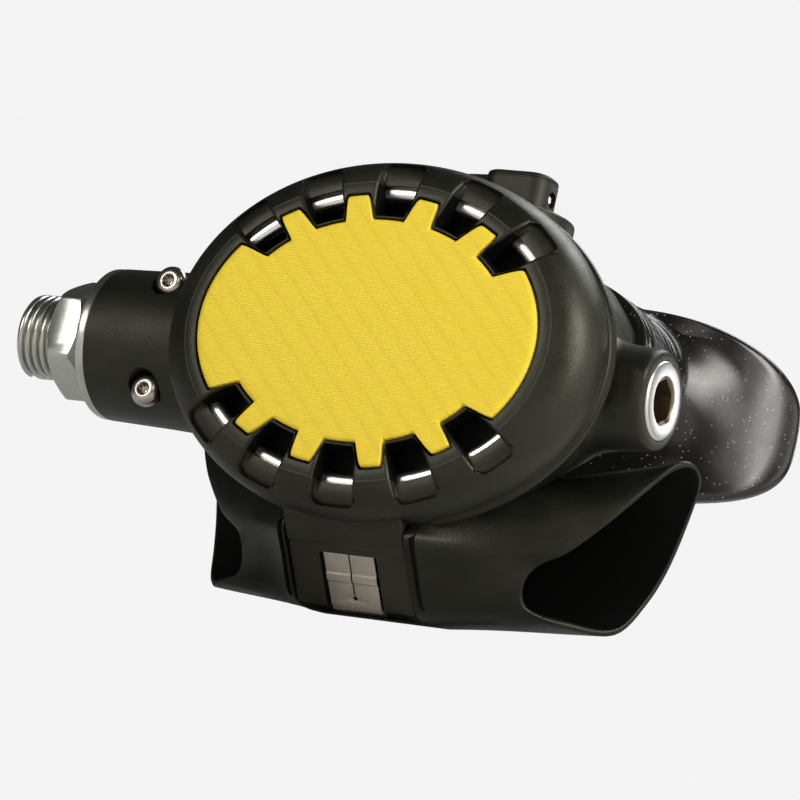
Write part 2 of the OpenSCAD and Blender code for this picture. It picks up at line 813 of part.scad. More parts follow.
module mouthpiece() color([0.1, 0.1, 0.1])
    difference() {
        union() {
            slab(sleeve_a, sleeve_b, sleeve_y, neck_y + 2 - sleeve_y, spigot_rise);
            bite_flange();
            intersection() {
                for (s = [-1, 1])
                    bite_tab(s * bite_tab_x);
                translate([0, 0, bite_z - bite_h])
                    linear_extrude(2 * bite_h)
                        polygon(concat(
                            [for (i = [0:24])
                                let (u = bite_w * (i / 24 - 0.5))
                                [u, bite_y(u) + bite_t / 2]],
                            [[bite_w / 2, neck_y + 40], [-bite_w / 2, neck_y + 40]]));
            }
        }
        slab(spigot_w / 2 + 0.02, spigot_h / 2 + 0.02, sleeve_y - 1, spigot_end - sleeve_y + 1.3, spigot_rise);
        slab(spigot_w / 2 - wall, spigot_h / 2 - wall, spigot_end - 2, 30, spigot_rise);
        difference() {
            slab(sleeve_a + 3, sleeve_b + 3, tie_y, tie_w, spigot_rise);
            slab(sleeve_a - 0.9, sleeve_b - 0.9, tie_y - 1, tie_w + 2, spigot_rise);
        }
    }

module mouthpiece_tie() color([0.14, 0.14, 0.14]) {
    difference() {
        slab(sleeve_a + 0.1, sleeve_b + 0.1, tie_y + 0.1, tie_w - 0.2, spigot_rise);
        slab(sleeve_a - 0.88, sleeve_b - 0.88, tie_y - 1, tie_w + 2, spigot_rise);
    }
    translate([-3, tie_y + 0.1, spigot_rise - sleeve_b - 1.6])
        cube([6, tie_w - 0.2, 2]);
}

// --------------------------------------------------------- venturi lever

module venturi_lever() color([0.16, 0.16, 0.16])
    translate([0, knob_y, 0])
        difference() {
            union() {
                rod_z(knob_base_r, base_z + 0.1, knob_z);
                translate([0, 0, knob_z - lap])
                    linear_extrude(knob_h)
                        hull()
                            for (x = [-1, 1], y = [-1, 1])
                                translate([knob_off + x * (knob_w / 2 - knob_corner), y * 1.7 - 0.2])
                                    circle(r = knob_corner);
                translate([0, 0, knob_z - lap])
                    linear_extrude(knob_h - 0.6)
                        hull() {
                            translate([-knob_arm, 1])
                                circle(r = 1.4);
                            translate([knob_off - knob_w / 2 + knob_corner, 0.6])
                                circle(r = 2.8);
                        }
            }
            rod_z(shaft_r + 0.02, base_z - 1, knob_z + 5.4);
            translate([0, 0, pin_z])
                rod_x(pin_d / 2 + 0.35, knob_off + knob_w / 2 - 1.4, knob_w);
            translate([0, 0, pin_z])
                rod_x(pin_d / 2 + 0.02, knob_off - knob_w / 2 + 0.3, knob_w);
        }

module lever_pin() color([0.85, 0.85, 0.86])
    translate([0, knob_y, pin_z])
        rod_x(pin_d / 2, knob_off - knob_w / 2 + 0.4, knob_off + knob_w / 2 - 0.4);

module venturi_vane() color([0.2, 0.2, 0.2])
    translate([0, knob_y, 0])
        difference() {
            union() {
                rod_z(shaft_r, vane_z + 6, knob_z + 5);
                translate([-6.5, -0.8, vane_z - 4])
                    cube([13, 1.6, base_z - 7.6 - (vane_z - 4)]);
            }
            translate([0, 0, base_z - 1.6])
                difference() {
                    rod_z(shaft_r + 1, 0, 1.1);
                    rod_z(shaft_r - 0.8, -1, 2);
                }
            translate([0, 0, pin_z])
                rod_x(pin_d / 2 + 0.02, -knob_w, knob_w);
        }

module vane_o_ring() color([0.08, 0.08, 0.08])
    translate([0, knob_y, base_z - 1.05])
        rotate_extrude()
            translate([shaft_r - 0.4, 0])
                circle(r = 0.4, $fn = 24);

place() case();
place() front_cover();
place() purge_plate();
place() purge_bushing();
place() purge_spring();
place() deflector_ring();
place() diaphragm();
place() diaphragm_disc();
place() diaphragm_ring();
place() demand_lever();
place() inlet_connector();
place() orifice();
place() orifice_o_ring();
place() valve_tube();
place() poppet();
place() poppet_seat();
place() poppet_spring();
place() spring_pad();
place() adjusting_plug();
place() plug_o_ring();
place() barrel_screws();
place() exhaust_valve();
place() exhaust_tee();
place() exhaust_clip();
place() mouthpiece();
place() mouthpiece_tie();
place() venturi_lever();
place() lever_pin();
place() venturi_vane();
place() vane_o_ring();
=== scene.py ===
# %% [markdown]
# # A scuba second stage, dressed round its CAD frame
# The part is the spare demand valve of a scuba set: an oval case with a yellow
# purge button, a chromed hose inlet, a rubber exhaust tee and a mouthpiece.
# The CAD frame comes in first and fixes every size and place. The cells below
# only give it the looks, so all of them work in the case's own millimetres:
# x = 0 in the middle of the case, y and z = 0 on the axis of the valve.

# %% Load the frame
import json
import math
import bpy
import bmesh
import numpy as np
from mathutils import Matrix, Vector

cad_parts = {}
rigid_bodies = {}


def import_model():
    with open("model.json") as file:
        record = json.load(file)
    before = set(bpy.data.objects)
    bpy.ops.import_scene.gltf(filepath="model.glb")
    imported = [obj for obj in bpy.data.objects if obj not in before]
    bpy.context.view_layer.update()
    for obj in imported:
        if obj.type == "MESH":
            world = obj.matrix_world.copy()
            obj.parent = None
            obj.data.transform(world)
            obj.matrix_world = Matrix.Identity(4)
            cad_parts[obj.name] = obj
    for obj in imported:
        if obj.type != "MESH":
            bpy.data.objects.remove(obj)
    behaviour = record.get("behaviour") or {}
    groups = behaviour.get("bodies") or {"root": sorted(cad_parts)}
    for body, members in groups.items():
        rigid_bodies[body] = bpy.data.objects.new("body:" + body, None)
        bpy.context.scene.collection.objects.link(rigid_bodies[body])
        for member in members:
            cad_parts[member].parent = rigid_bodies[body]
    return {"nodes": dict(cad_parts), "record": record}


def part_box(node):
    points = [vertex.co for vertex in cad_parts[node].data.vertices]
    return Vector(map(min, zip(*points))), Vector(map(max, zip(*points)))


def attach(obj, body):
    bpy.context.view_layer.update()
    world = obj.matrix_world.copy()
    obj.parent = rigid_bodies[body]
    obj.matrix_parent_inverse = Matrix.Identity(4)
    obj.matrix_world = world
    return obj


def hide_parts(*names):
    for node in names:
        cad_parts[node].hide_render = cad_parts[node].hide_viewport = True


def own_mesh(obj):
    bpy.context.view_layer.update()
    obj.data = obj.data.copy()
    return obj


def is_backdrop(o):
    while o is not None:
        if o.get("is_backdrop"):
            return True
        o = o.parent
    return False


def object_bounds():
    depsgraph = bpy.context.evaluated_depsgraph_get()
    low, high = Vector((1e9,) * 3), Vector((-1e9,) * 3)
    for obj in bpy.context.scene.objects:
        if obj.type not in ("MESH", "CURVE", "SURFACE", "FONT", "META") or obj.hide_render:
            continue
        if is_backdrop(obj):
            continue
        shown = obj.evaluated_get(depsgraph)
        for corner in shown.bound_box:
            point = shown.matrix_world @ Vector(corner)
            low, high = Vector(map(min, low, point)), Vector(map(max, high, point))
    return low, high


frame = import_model()
for name in ("Cube", "Light", "Camera"):
    if name in bpy.data.objects:
        bpy.data.objects.remove(bpy.data.objects[name])
cad_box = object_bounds()
print("CAD nodes:", len(frame["nodes"]))

# %% Sizes that the frame gives
MM = 0.001
plate_low, plate_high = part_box("purge_plate")
cover_low, cover_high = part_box("front_cover")
CASE_X = (plate_low.x + plate_high.x) / 2
RISE = (plate_low.z + plate_high.z) / 2 / MM
PLATE_A = (plate_high.x - plate_low.x) / 2 / MM
PLATE_FRONT = plate_low.y / MM
FACE_Y = PLATE_FRONT + 0.3
COVER_A = (cover_high.x - cover_low.x) / 2 / MM
COVER_B = cover_high.z / MM - RISE
# Half the plate's height without its notches, and the plane where cover and rim meet.
PLATE_B = 22.4
SEAT_Y = -13.0
print(f"plate {2 * PLATE_A:.1f} mm wide, cover {2 * COVER_A:.1f} x {2 * COVER_B:.1f} mm")


# %% [markdown]
# ## Tools for making meshes
# Most pieces here are lofts: rings of points, joined ring to ring by quads.
# A loft keeps its edges where its rings lie, so a moulded edge can be rounded
# by two or three rings close together, with no bevel that might go wrong.

# %% Points, rings and closed meshes
def new_object(name, data):
    """An object for a mesh, the camera or a lamp, put into the scene."""
    obj = bpy.data.objects.new(name, data)
    bpy.context.scene.collection.objects.link(obj)
    return obj


def make_object(name, points, faces):
    """An object from points in case millimetres."""
    mesh = bpy.data.meshes.new(name)
    placed = np.asarray(points, float).reshape(-1, 3) * MM + [CASE_X, 0, 0]
    mesh.from_pydata(placed.tolist(), [], [list(f) for f in faces])
    obj = new_object(name, mesh)
    return obj


def seal(obj, sharp=35, reach=0.002):
    """Merges doubles, turns the faces outwards and smooths all but sharp edges."""
    work = bmesh.new()
    work.from_mesh(obj.data)
    bmesh.ops.remove_doubles(work, verts=work.verts, dist=reach * MM)
    bmesh.ops.dissolve_degenerate(work, edges=work.edges, dist=reach * MM / 10)
    bmesh.ops.recalc_face_normals(work, faces=work.faces)
    if work.calc_volume(signed=True) < 0:
        bmesh.ops.reverse_faces(work, faces=work.faces)
    loose = [e for e in work.edges if len(e.link_faces) != 2]
    work.to_mesh(obj.data)
    work.free()
    obj.data.shade_smooth()
    obj.data.set_sharp_from_angle(angle=math.radians(sharp))
    print(f"{obj.name}: {len(obj.data.polygons)} faces, {len(loose)} open edges")
    return obj


def ring_quads(rows, columns, closed=False):
    """Quads between closed rings of points; closed joins the last row to the first."""
    for r in range(rows if closed else rows - 1):
        n = (r + 1) % rows
        for c in range(columns):
            d = (c + 1) % columns
            yield (r * columns + c, r * columns + d, n * columns + d, n * columns + c)


def loft(name, rings, closed=False, sharp=35):
    """Joins rings of points; an open loft is capped at both ends."""
    rings = np.asarray(rings, float)
    rows, columns = rings.shape[:2]
    faces = list(ring_quads(rows, columns, closed))
    if not closed:
        faces.append(range(columns))
        faces.append(range((rows - 1) * columns, rows * columns))
    return seal(make_object(name, rings, faces), sharp)


def turn(columns):
    """Angles of a full turn, in radians."""
    return np.arange(columns) * 2 * math.pi / columns


def oval(half_width, half_height, y, z=0.0, power=2.0, columns=128):
    """Ring across Y: an ellipse, or with a higher power a fuller oval."""
    a = turn(columns)
    c, s = np.cos(a), np.sin(a)
    x = half_width * np.sign(c) * np.abs(c) ** (2 / power)
    up = half_height * np.sign(s) * np.abs(s) ** (2 / power)
    return np.stack([x, np.full(columns, float(y)), up + z], 1)


def turned(name, profile, axis="x", centre=(0, 0, 0), columns=96, closed=False, sharp=30):
    """Turns a profile round an axis. Each station is (distance, radius), or
    (distance, half the width across flats, round limit) on a hexagon."""
    a = turn(columns)
    flats = 1 / np.cos((a + math.pi / 6) % (math.pi / 3) - math.pi / 6)
    rings = []
    for station in profile:
        radius = np.full(columns, float(station[1]))
        if len(station) == 3:
            radius = np.minimum(station[1] * flats, station[2])
        u, v, w = radius * np.cos(a), radius * np.sin(a), np.full(columns, float(station[0]))
        order = {"x": (w, u, v), "y": (v, w, u), "z": (u, v, w)}[axis]
        rings.append(np.stack(order, 1) + np.array(centre))
    return loft(name, rings, closed, sharp)


def apply_modifiers(obj):
    """Makes the modifiers' result the object's own mesh."""
    depsgraph = bpy.context.evaluated_depsgraph_get()
    result = bpy.data.meshes.new_from_object(obj.evaluated_get(depsgraph))
    obj.modifiers.clear()
    obj.data = result
    return obj


def cut(obj, *cutters, operation="DIFFERENCE"):
    """Takes the cutters out of obj, or keeps what is in them, and deletes them."""
    for cutter in cutters:
        modifier = obj.modifiers.new("cut", "BOOLEAN")
        modifier.operation = operation
        modifier.solver = "EXACT"
        modifier.object = cutter
        apply_modifiers(obj)
        bpy.data.objects.remove(cutter)
    return obj


def bevelled(obj, width, segments=3, angle=30):
    """Rounds the sharp edges of a plain solid."""
    modifier = obj.modifiers.new("round", "BEVEL")
    modifier.width = width * MM
    modifier.segments = segments
    modifier.limit_method = "ANGLE"
    modifier.angle_limit = math.radians(angle)
    return seal(apply_modifiers(obj), 40)


def prism(name, outline, low, high, axis="x"):
    """Outline of two coordinates made solid along the third."""
    outline = np.asarray(outline, float)
    rings = []
    for w in (low, high):
        u, v = outline[:, 0], outline[:, 1]
        w = np.full(len(outline), float(w))
        rings.append(np.stack({"x": (w, u, v), "y": (u, w, v), "z": (u, v, w)}[axis], 1))
    return loft(name, rings)


def joined(name, *objects):
    """One object from several meshes."""
    meshes = bmesh.new()
    for obj in objects:
        meshes.from_mesh(obj.data)
        bpy.data.objects.remove(obj)
    mesh = bpy.data.meshes.new(name)
    meshes.to_mesh(mesh)
    meshes.free()
    result = new_object(name, mesh)
    return result


print("mesh tools ready")


# %% [markdown]
# ## The camera
# The object was looked at from a little to its right and from below, through
# a long lens, and the camera was leaning. The three directions below are the
# picture's right, its up, and the way back to the camera.

# %% Camera
VIEW_RIGHT = Vector((0.8821, 0.4204, 0.2126))
VIEW_UP = Vector((-0.0938, -0.2855, 0.9538))
VIEW_BACK = VIEW_RIGHT.cross(VIEW_UP).normalized()
EYE = Vector((366.7, -689.3, -174.3))

camera = new_object("camera", bpy.data.cameras.new("camera"))
camera.data.sensor_width = 36
camera.data.lens = 223.2
camera.data.clip_end = 20
turned_view = Matrix((VIEW_RIGHT, VIEW_UP, VIEW_BACK)).transposed().to_4x4()
camera.matrix_world = Matrix.Translation(EYE * MM + Vector((CASE_X, 0, 0))) @ turned_view
bpy.context.scene.camera = camera
print("camera at", [round(v, 3) for v in camera.location])


# %% [markdown]
# ## The toothed oval
# The cover, the purge plate and the ten slots all follow one rule, so it is
# written once. A point is given by an angle and by how far outside the purge
# plate's oval it lies, called grow. Between two teeth the plate is notched,
# and the slots of the cover lie in line with the notches.

# %% Oval, notches and slots
SLOT_PITCH = 24.3
NOTCH_DEEP = 5.4
NOTCH_HALF = 6.3
NOTCH_SIDE = 2.8
SLOT_HALF = 6.6
WINDOW_END = 2.2
POCKET_END = 6.0
COVER_GROW = COVER_A - PLATE_A
INWARD_RATE = 0.76


def clamp(share):
    """The share kept between 0 and 1."""
    return min(1.0, max(0.0, share))


def slot_offset(angle):
    """Degrees from the nearest slot's middle."""
    up = (angle + 180) % 360 - 180
    off = abs(abs(up) - 90)
    return abs(off - min(2, round(off / SLOT_PITCH)) * SLOT_PITCH)


def notch(angle, spare=0.0):
    """1 in a notch, 0 on a tooth, with a soft flank between them."""
    s = clamp((slot_offset(angle) + spare * 2.6 - NOTCH_HALF) / NOTCH_SIDE)
    return 1 - s * s * (3 - 2 * s)


def half_height(grow):
    """Half height of the oval that lies grow outside the plate's."""
    if grow < 0:
        return PLATE_B + INWARD_RATE * grow
    rest = max(0.0, grow - POCKET_END)
    slope = (COVER_B - PLATE_B - POCKET_END) / (COVER_GROW - POCKET_END)
    return PLATE_B + min(grow, POCKET_END) + rest * slope


def oval_point(angle, grow, y):
    a = math.radians(angle)
    return ((PLATE_A + grow) * math.cos(a), y, half_height(grow) * math.sin(a) + RISE)


DOME_START = 0.3
DOME_DEEP = 8.0


def dome(grow):
    """Depth of the cover's front at a distance outside the plate."""
    t = clamp((grow - DOME_START) / (COVER_GROW - DOME_START))
    return FACE_Y + DOME_DEEP * (1 - math.sqrt(1 - t * t))


slot_middles = [side + k * SLOT_PITCH for side in (90, 270) for k in range(-2, 3)]
print("slots at", [round(m, 1) for m in slot_middles])

# %% [markdown]
# ## Cover
# The real cover is one moulding: a domed ring whose slots are windows near
# the plate and turn into shallow pockets further out. A boolean would leave
# ragged edges, so the ring is lofted column by column instead. Each column is
# a closed cross-section. In a slot its front and back meet on one line, and
# where two such columns stand side by side the faces are left out, which
# opens the window and leaves its side walls in place.

# %% Cross-sections of the cover
POCKET_FLOOR = -17.9
CEILING = -17.2
HUB_R = 7.85
WINDOW_STEPS = 8
WINDOW_MID = -17.4
SKIN_IN, SKIN_OUT = 2.0, 1.1
CORNER_R = 1.3
WINDOW_FIRST = 8
FINE_STEP, WIDE_STEP = 0.7, 1.8


def column_section(angle, in_slot):
    """Points (grow, y) of one cross-section, front inwards to outwards, then back."""
    off = slot_offset(angle)
    inner = 0.3 - notch(angle, 0.3) * NOTCH_DEEP
    edge = clamp((SLOT_HALF + 0.9 - off) / 0.9) if not in_slot else 0
    drop = 0.45 * edge ** 2.5
    side = abs(SLOT_HALF - off) * 0.6
    corner = max(0.0, CORNER_R - side)
    outer = POCKET_END - (CORNER_R - math.sqrt(CORNER_R ** 2 - corner ** 2))
    front = [(inner - 3, POCKET_FLOOR), (inner, POCKET_FLOOR), (inner, FACE_Y + 0.3),
             (inner + 0.08, FACE_Y + 0.08), (inner + 0.2, FACE_Y)]
    window = inner + 0.6
    if in_slot:
        front += [(inner + 0.4, FACE_Y), (inner + 0.52, FACE_Y + 0.06),
                  (window, FACE_Y + 0.25)]
    else:
        front += [(inner + 0.4, dome(inner + 0.4) + drop),
                  (inner + 0.52, dome(inner + 0.52) + drop), (window - 0.02, dome(window) + drop)]
    opening = [window + (WINDOW_END - window) * k / WINDOW_STEPS
               for k in range(WINDOW_STEPS + 1)]
    for g in opening:
        front.append((g, WINDOW_MID if in_slot else dome(g) + drop))
    lip = dome(WINDOW_END) + SKIN_IN
    if in_slot:
        front += [(WINDOW_END, lip + 0.3), (WINDOW_END + 0.1, lip + 0.08)]
    else:
        front += [(WINDOW_END + 0.05, dome(WINDOW_END) + drop),
                  (WINDOW_END + 0.1, dome(WINDOW_END) + drop)]
    for k in range(6):
        g = WINDOW_END + 0.3 + (outer - 0.5 - WINDOW_END - 0.3) * k / 5
        front.append((g, dome(g) + (SKIN_IN + (SKIN_OUT - SKIN_IN) * k / 5 if in_slot else drop)))
    if in_slot:
        front += [(outer - 0.15, dome(outer) + SKIN_OUT - 0.05), (outer, dome(outer) + SKIN_OUT - 0.3),
                  (outer + 0.03, dome(outer) + 0.3), (outer + 0.12, dome(outer + 0.1) + 0.08)]
    else:
        front += [(outer - 0.15, dome(outer - 0.15) + drop), (outer, dome(outer) + drop),
                  (outer + 0.02, dome(outer + 0.02) + drop * 0.8),
                  (outer + 0.12, dome(outer + 0.12) + drop * 0.5)]
    start = outer + 0.35
    t0 = math.asin(min(1.0, (start - DOME_START) / (COVER_GROW - DOME_START)))
    for k in range(9):
        t = t0 + (math.pi / 2 - t0) * k / 8
        g = DOME_START + (COVER_GROW - DOME_START) * math.sin(t)
        front.append((g, FACE_Y + DOME_DEEP * (1 - math.cos(t))))
    front += [(COVER_GROW, SEAT_Y - 0.5), (COVER_GROW - 0.06, SEAT_Y - 0.25),
              (COVER_GROW - 0.3, SEAT_Y - 0.15)]
    back = [(5.1, SEAT_Y - 0.15), (5.1, -15.4), (2.9, -15.4), (2.6, CEILING)]
    for g in reversed(opening):
        back.append((g, WINDOW_MID if in_slot else CEILING))
    back += [(inner, CEILING), (inner - 3, CEILING)]
    return front, back


def cover_columns():
    """Angles round the cover, with a mark for the ones inside a slot."""
    inside = [0, 1.6, 3.2, 4.4, 5.2, 5.8, 6.2, 6.45, SLOT_HALF]
    beside = [SLOT_HALF, 6.75, 6.95, 7.2, 7.5]
    found = []
    for m in slot_middles:
        for s in (-1, 1):
            found += [(m + s * d, True, m) for d in inside if d or s > 0]
            found += [(m + s * d, False, m) for d in beside]
    angle = 0.0
    while angle < 360:
        off = slot_offset(angle)
        if off > 7.7:
            found.append((angle, False, None))
        angle += FINE_STEP if off < 14 else WIDE_STEP

    def order(entry):
        """Two columns may share an angle: the slot's one goes on the slot's side."""
        angle, in_slot, middle = entry
        nudge = 0 if middle is None else (1e-4 if in_slot == (angle < middle) else -1e-4)
        return angle % 360 + nudge

    return sorted(found, key=order)


columns = cover_columns()
print(len(columns), "columns round the cover")

# %% Build the cover
def warp(angle, in_slot, middle, grow):
    """The slots' sides close in a little outwards, seen as an angle."""
    if middle is None:
        return angle
    close = 0.5 * clamp((grow + 4.5) / 10.5)
    off = angle - middle
    share = abs(off) / SLOT_HALF if in_slot else max(0.0, 1 - (abs(off) - SLOT_HALF) / 1.2)
    return angle - math.copysign(close * share, off) if off else angle


rings = []
for angle, in_slot, middle in columns:
    front, back = column_section(angle, in_slot)
    ring = [oval_point(warp(angle, in_slot, middle, g), g, y) for g, y in front + back]
    a = math.radians(angle)
    hub = (HUB_R * math.cos(a), HUB_R * math.sin(a))
    ring.insert(0, (hub[0], POCKET_FLOOR, hub[1]))
    ring.append((hub[0], CEILING, hub[1]))
    rings.append(ring)
rings = np.array(rings)
front_count = len(front) + 1
window_front = range(WINDOW_FIRST + 1, WINDOW_FIRST + 1 + WINDOW_STEPS)
window_back = range(front_count + 4, front_count + 4 + WINDOW_STEPS)
rows, stations = rings.shape[:2]
faces = []
for r in range(rows):
    n = (r + 1) % rows
    both = columns[r][1] and columns[n][1]
    for c in range(stations):
        if both and (c in window_front or c in window_back):
            continue
        d = (c + 1) % stations
        faces.append((r * stations + c, r * stations + d, n * stations + d, n * stations + c))
cover = seal(make_object("cover", rings, faces), sharp=50)


def is_inside(face):
    """The windows' own walls, which get painted shade: a near-black dull material for the shadow deep in the
    slots.
    """
    x, y, z = ((face.center - Vector((CASE_X, 0, RISE * MM))) / MM)
    deep = y > FACE_Y + 1.0 and y < SEAT_Y - 1
    return deep and (x / (PLATE_A + 2.1)) ** 2 + (z / (PLATE_B + 2.1)) ** 2 < 1


cover_inside = [face.index for face in cover.data.polygons if is_inside(face)]
print(len(cover_inside), "faces inside the windows")

# %% [markdown]
# The tongue is part of the same moulding. It runs down over the middle of the
# exhaust tee, with a recess for the sheet clip, and bends with the tee's
# sloping front.

# %% Tongue of the cover
clip_low, clip_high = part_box("exhaust_clip")
TEE_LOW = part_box("exhaust_tee")[0].z / MM
CREASE = Vector((-14.8, -29.5))
CHIN_FOOT = Vector((-4.5, TEE_LOW))
CHIN_DOWN = CHIN_FOOT - CREASE
CHIN_IN = Vector((-CHIN_DOWN.y, CHIN_DOWN.x)).normalized()
CHIN_HALF = 10.5
TONGUE_T = 1.8


def chin(t, d=0.0):
    """Point (y, z) on the sloping front: t runs down it and d goes inwards."""
    p = CREASE + CHIN_DOWN * t + CHIN_IN * d
    return (p.x, p.y)


outline = [(-16.6, -26.4), (-15.9, -28.0), chin(0.02, 0.05), chin(0.06, 0), chin(0.22, 0),
           chin(0.24, 0.18), chin(0.985, 0.18), chin(1, 0.5), chin(1, TONGUE_T),
           chin(0.3, TONGUE_T), chin(0, TONGUE_T), (-13.4, -26.4)]
tongue = prism("tongue", outline, -CHIN_HALF, CHIN_HALF)
recess = [chin(0.34, -2), chin(1.2, -2), chin(1.2, 1.15), chin(0.34, 1.15)]
foot = [chin(0.93, -2), chin(1.3, -2), chin(1.3, 4), chin(0.93, 4)]
CLIP_SIDES = [(clip_low.x - CASE_X) / MM, (clip_high.x - CASE_X) / MM]
cut(tongue, prism("recess", recess, CLIP_SIDES[0] - 0.9, CLIP_SIDES[1] + 0.3),
    prism("foot", foot, CLIP_SIDES[0] - 0.9, CLIP_SIDES[1] + 0.3))
tongue = bevelled(tongue, 0.3)


# %% [markdown]
# ## Case
# The case is a smooth moulded body: an oval bowl that narrows towards the
# mouth tube, with a barrel for the hose on one side and a boss for the plug on
# the other. The soft parts are lofted one by one, melted into one skin by a
# voxel remesh and smoothed, which gives the rounded joins that a mould has.
# The bores are cut after that, and the crisp rim is a loft of its own.

# %% Lofts that make up the body
SPIGOT_Z = 18.0
FLANGE_X = -56.2
SCREW_X, SCREW_Z = -44.6, 9.3


def cubic(u, start, out, end, into):
    """Smooth way from start to end, leaving along out and arriving along into."""
    return ((2 * u ** 3 - 3 * u ** 2 + 1) * start + (u ** 3 - 2 * u ** 2 + u) * out
            + (3 * u ** 2 - 2 * u ** 3) * end + (u ** 3 - u ** 2) * into)


def smooth_steps(stations, steps):
    """More stations along a smooth curve through the given ones."""
    stations = np.asarray(stations, float)
    t = np.arange(len(stations))
    fine = np.linspace(0, len(stations) - 1, steps)
    slope = np.gradient(stations, axis=0)
    k = np.clip(fine.astype(int), 0, len(stations) - 2)
    u = (fine - t[k])[:, None]
    return cubic(u, stations[k], slope[k], stations[k + 1], slope[k + 1])


def oval_loft(name, stations, steps=None):
    """Stations are (y, half width, half height, centre z, power)."""
    if steps:
        stations = smooth_steps(stations, steps)
    return loft(name, [oval(a, b, y, z, p) for y, a, b, z, p in stations])


def remeshed(obj, size, rounds):
    """One closed skin round everything in obj, smoothed."""
    skin = obj.modifiers.new("skin", "REMESH")
    skin.mode = "VOXEL"
    skin.voxel_size = size * MM
    soften = obj.modifiers.new("soften", "SMOOTH")
    soften.factor = 0.5
    soften.iterations = rounds
    return apply_modifiers(obj)


bowl = oval_loft("bowl", [
    (-8.2, 36.2, 27.6, RISE, 2), (0, 34.6, 26.0, 1.8, 2), (10, 31.4, 22.8, 4, 2), (20, 27.0, 18.6, 9, 2.1),
    (32, 18.4, 12.2, SPIGOT_Z, 2.2), (40, 17.2, 11.2, SPIGOT_Z, 2)], 26)
barrel = turned("barrel", [(FLANGE_X - 3, 12.6), (-44, 13.1), (-30, 13.8), (-14, 12.5)])
boss = turned("boss", [(24, 14.5), (29, 11.6), (31.5, 9.9), (34, 9.0), (37, 8.5), (40, 8.3),
                       (42.6, 8.1), (43, 7.8)])
port = turned("port", [(-10, 13.6), (-20, 13.4), (-25.4, 13.2)], "z", (0, 4, 0))
seat = turned("lever seat", [(18, 11), (29, 9.8), (31.7, 9.5), (32, 9.2)], "z", (0, 22, 0))
tube = oval_loft("tube", [(30, 17, 11, SPIGOT_Z, 2), (51.6, 17, 11, SPIGOT_Z, 2),
                          (52, 16.7, 10.7, SPIGOT_Z, 2)])
VOXEL, SMOOTHING = 0.6, 8
body = remeshed(joined("case_body", bowl, barrel, boss, port, seat, tube), VOXEL, SMOOTHING)
print("case body:", len(body.data.polygons), "faces")

# %% Bores, seat plane and screw wells
chamber = oval_loft("chamber", [(60, 14.8, 8.8, SPIGOT_Z, 2), (30, 14.8, 8.8, SPIGOT_Z, 2),
                                (8, 26, 19, 5, 2), (-6, 33, 24.5, RISE, 2), (-20, 34, 26, RISE, 2)])
valve_bore = turned("valve bore", [(-60, 8.75), (-30, 8.75), (-29.8, 7.2), (33, 7.2), (33.05, 6.47),
                                   (50, 6.47)])
port_bore = turned("port bore", [(-15, 9.4), (-24.1, 9.4), (-24.15, 11.6), (-30, 11.6)], "z", (0, 4, 0))
lever_bore = turned("lever bore", [(10, 2.5), (40, 2.5)], "z", (0, 22, 0))
FRONT_Y, BARREL_FREE_X = -7.7, -37.5
front = prism("front", [(BARREL_FREE_X, -60), (60, -60), (60, 60), (BARREL_FREE_X, 60)], -30, FRONT_Y, "y")
end = prism("end", [(-70, -30), (FLANGE_X, -30), (FLANGE_X, 30), (-70, 30)], -30, 30, "y")
cut(body, chamber, valve_bore, port_bore, lever_bore, front, end)
wells = [turned("well", [(-30, 3.0), (-7.6, 3.0), (-7.55, 1.3), (6, 1.3)], "y", (SCREW_X, 0, s * SCREW_Z))
         for s in (-1, 1)]
cut(body, *wells)
seal(body, 40)

# %% [markdown]
# The rim carries the cover. It has a fine parting groove where the two
# mouldings meet and a thin bead behind it, so its rings are listed one by one.

# %% Rim of the case
RIM_A, RIM_B = COVER_A - 0.2, COVER_B - 0.7
RIM = [(-13.15, -3.2), (-13.15, -0.55), (-13.0, -0.35), (-12.75, -0.3), (-12.6, 0.0), (-12.4, 0.1),
       (-11.0, 0.1), (-10.85, 0.25), (-10.6, 0.75), (-10.2, 0.9), (-9.8, 0.8), (-9.5, 0.3), (-9.3, 0.05),
       (-8.3, -0.2), (-6.5, -0.9), (-5.5, -1.6), (-5.5, -4)]
rim = loft("case_rim", [oval(RIM_A + g - 0.4, RIM_B + g - 0.4, y, RISE, 2, 192) for y, g in RIM], closed=True)

# %% [markdown]
# ## Exhaust tee
# The tee is a soft rubber duct. It has two drawn sections, the middle one and
# the open mouth, each with sixteen control points joined by a closed smooth
# curve. The middle is pressed in where the cover's tongue lies on it, and the
# wing blends from one section to the other. The inner wall is the outer one
# moved inwards along its normals, and a half round joins the two at the lip.

# %% Sections of the tee
MIDDLE = [(2, -19), (8, -18.5), (13, -19.5), (18, -23), (18.6, -28), (16, -34), (10, -38.4), (3, -39.9),
          (-2.5, -40.2), (-6, -39), (-10.3, -34.5), (-14.2, -30.2), (-13.2, -27.6), (-11.5, -24.5),
          (-8, -20.5), (-3, -18.8)]
LIP = [(43.4, 9, -7.6), (44.2, 13, -6.5), (44.6, 16, -8.6), (43.4, 18, -13.3), (41.3, 18.5, -22.4),
       (39.3, 17, -29.5), (36.6, 13.5, -35.6), (31.6, 7, -36.7), (26.6, 2.6, -35.9), (25.2, 1, -34),
       (25.6, 0.2, -31), (27.2, 0.6, -28.6), (31.2, 1.4, -25.8), (35.6, 2.9, -20.6), (38.3, 4.4, -16.4),
       (40.6, 6.4, -12.2)]


def closed_curve(points, between=6):
    """A smooth closed curve through the points."""
    p = np.asarray(points, float)
    nxt = np.roll(p, -1, 0)
    out, into = (nxt - np.roll(p, 1, 0)) / 2, (np.roll(p, -2, 0) - p) / 2
    u = (np.arange(between) / between)[None, :, None]
    p, nxt, out, into = (q[:, None, :] for q in (p, nxt, out, into))
    return cubic(u, p, out, nxt, into).reshape(-1, p.shape[2])


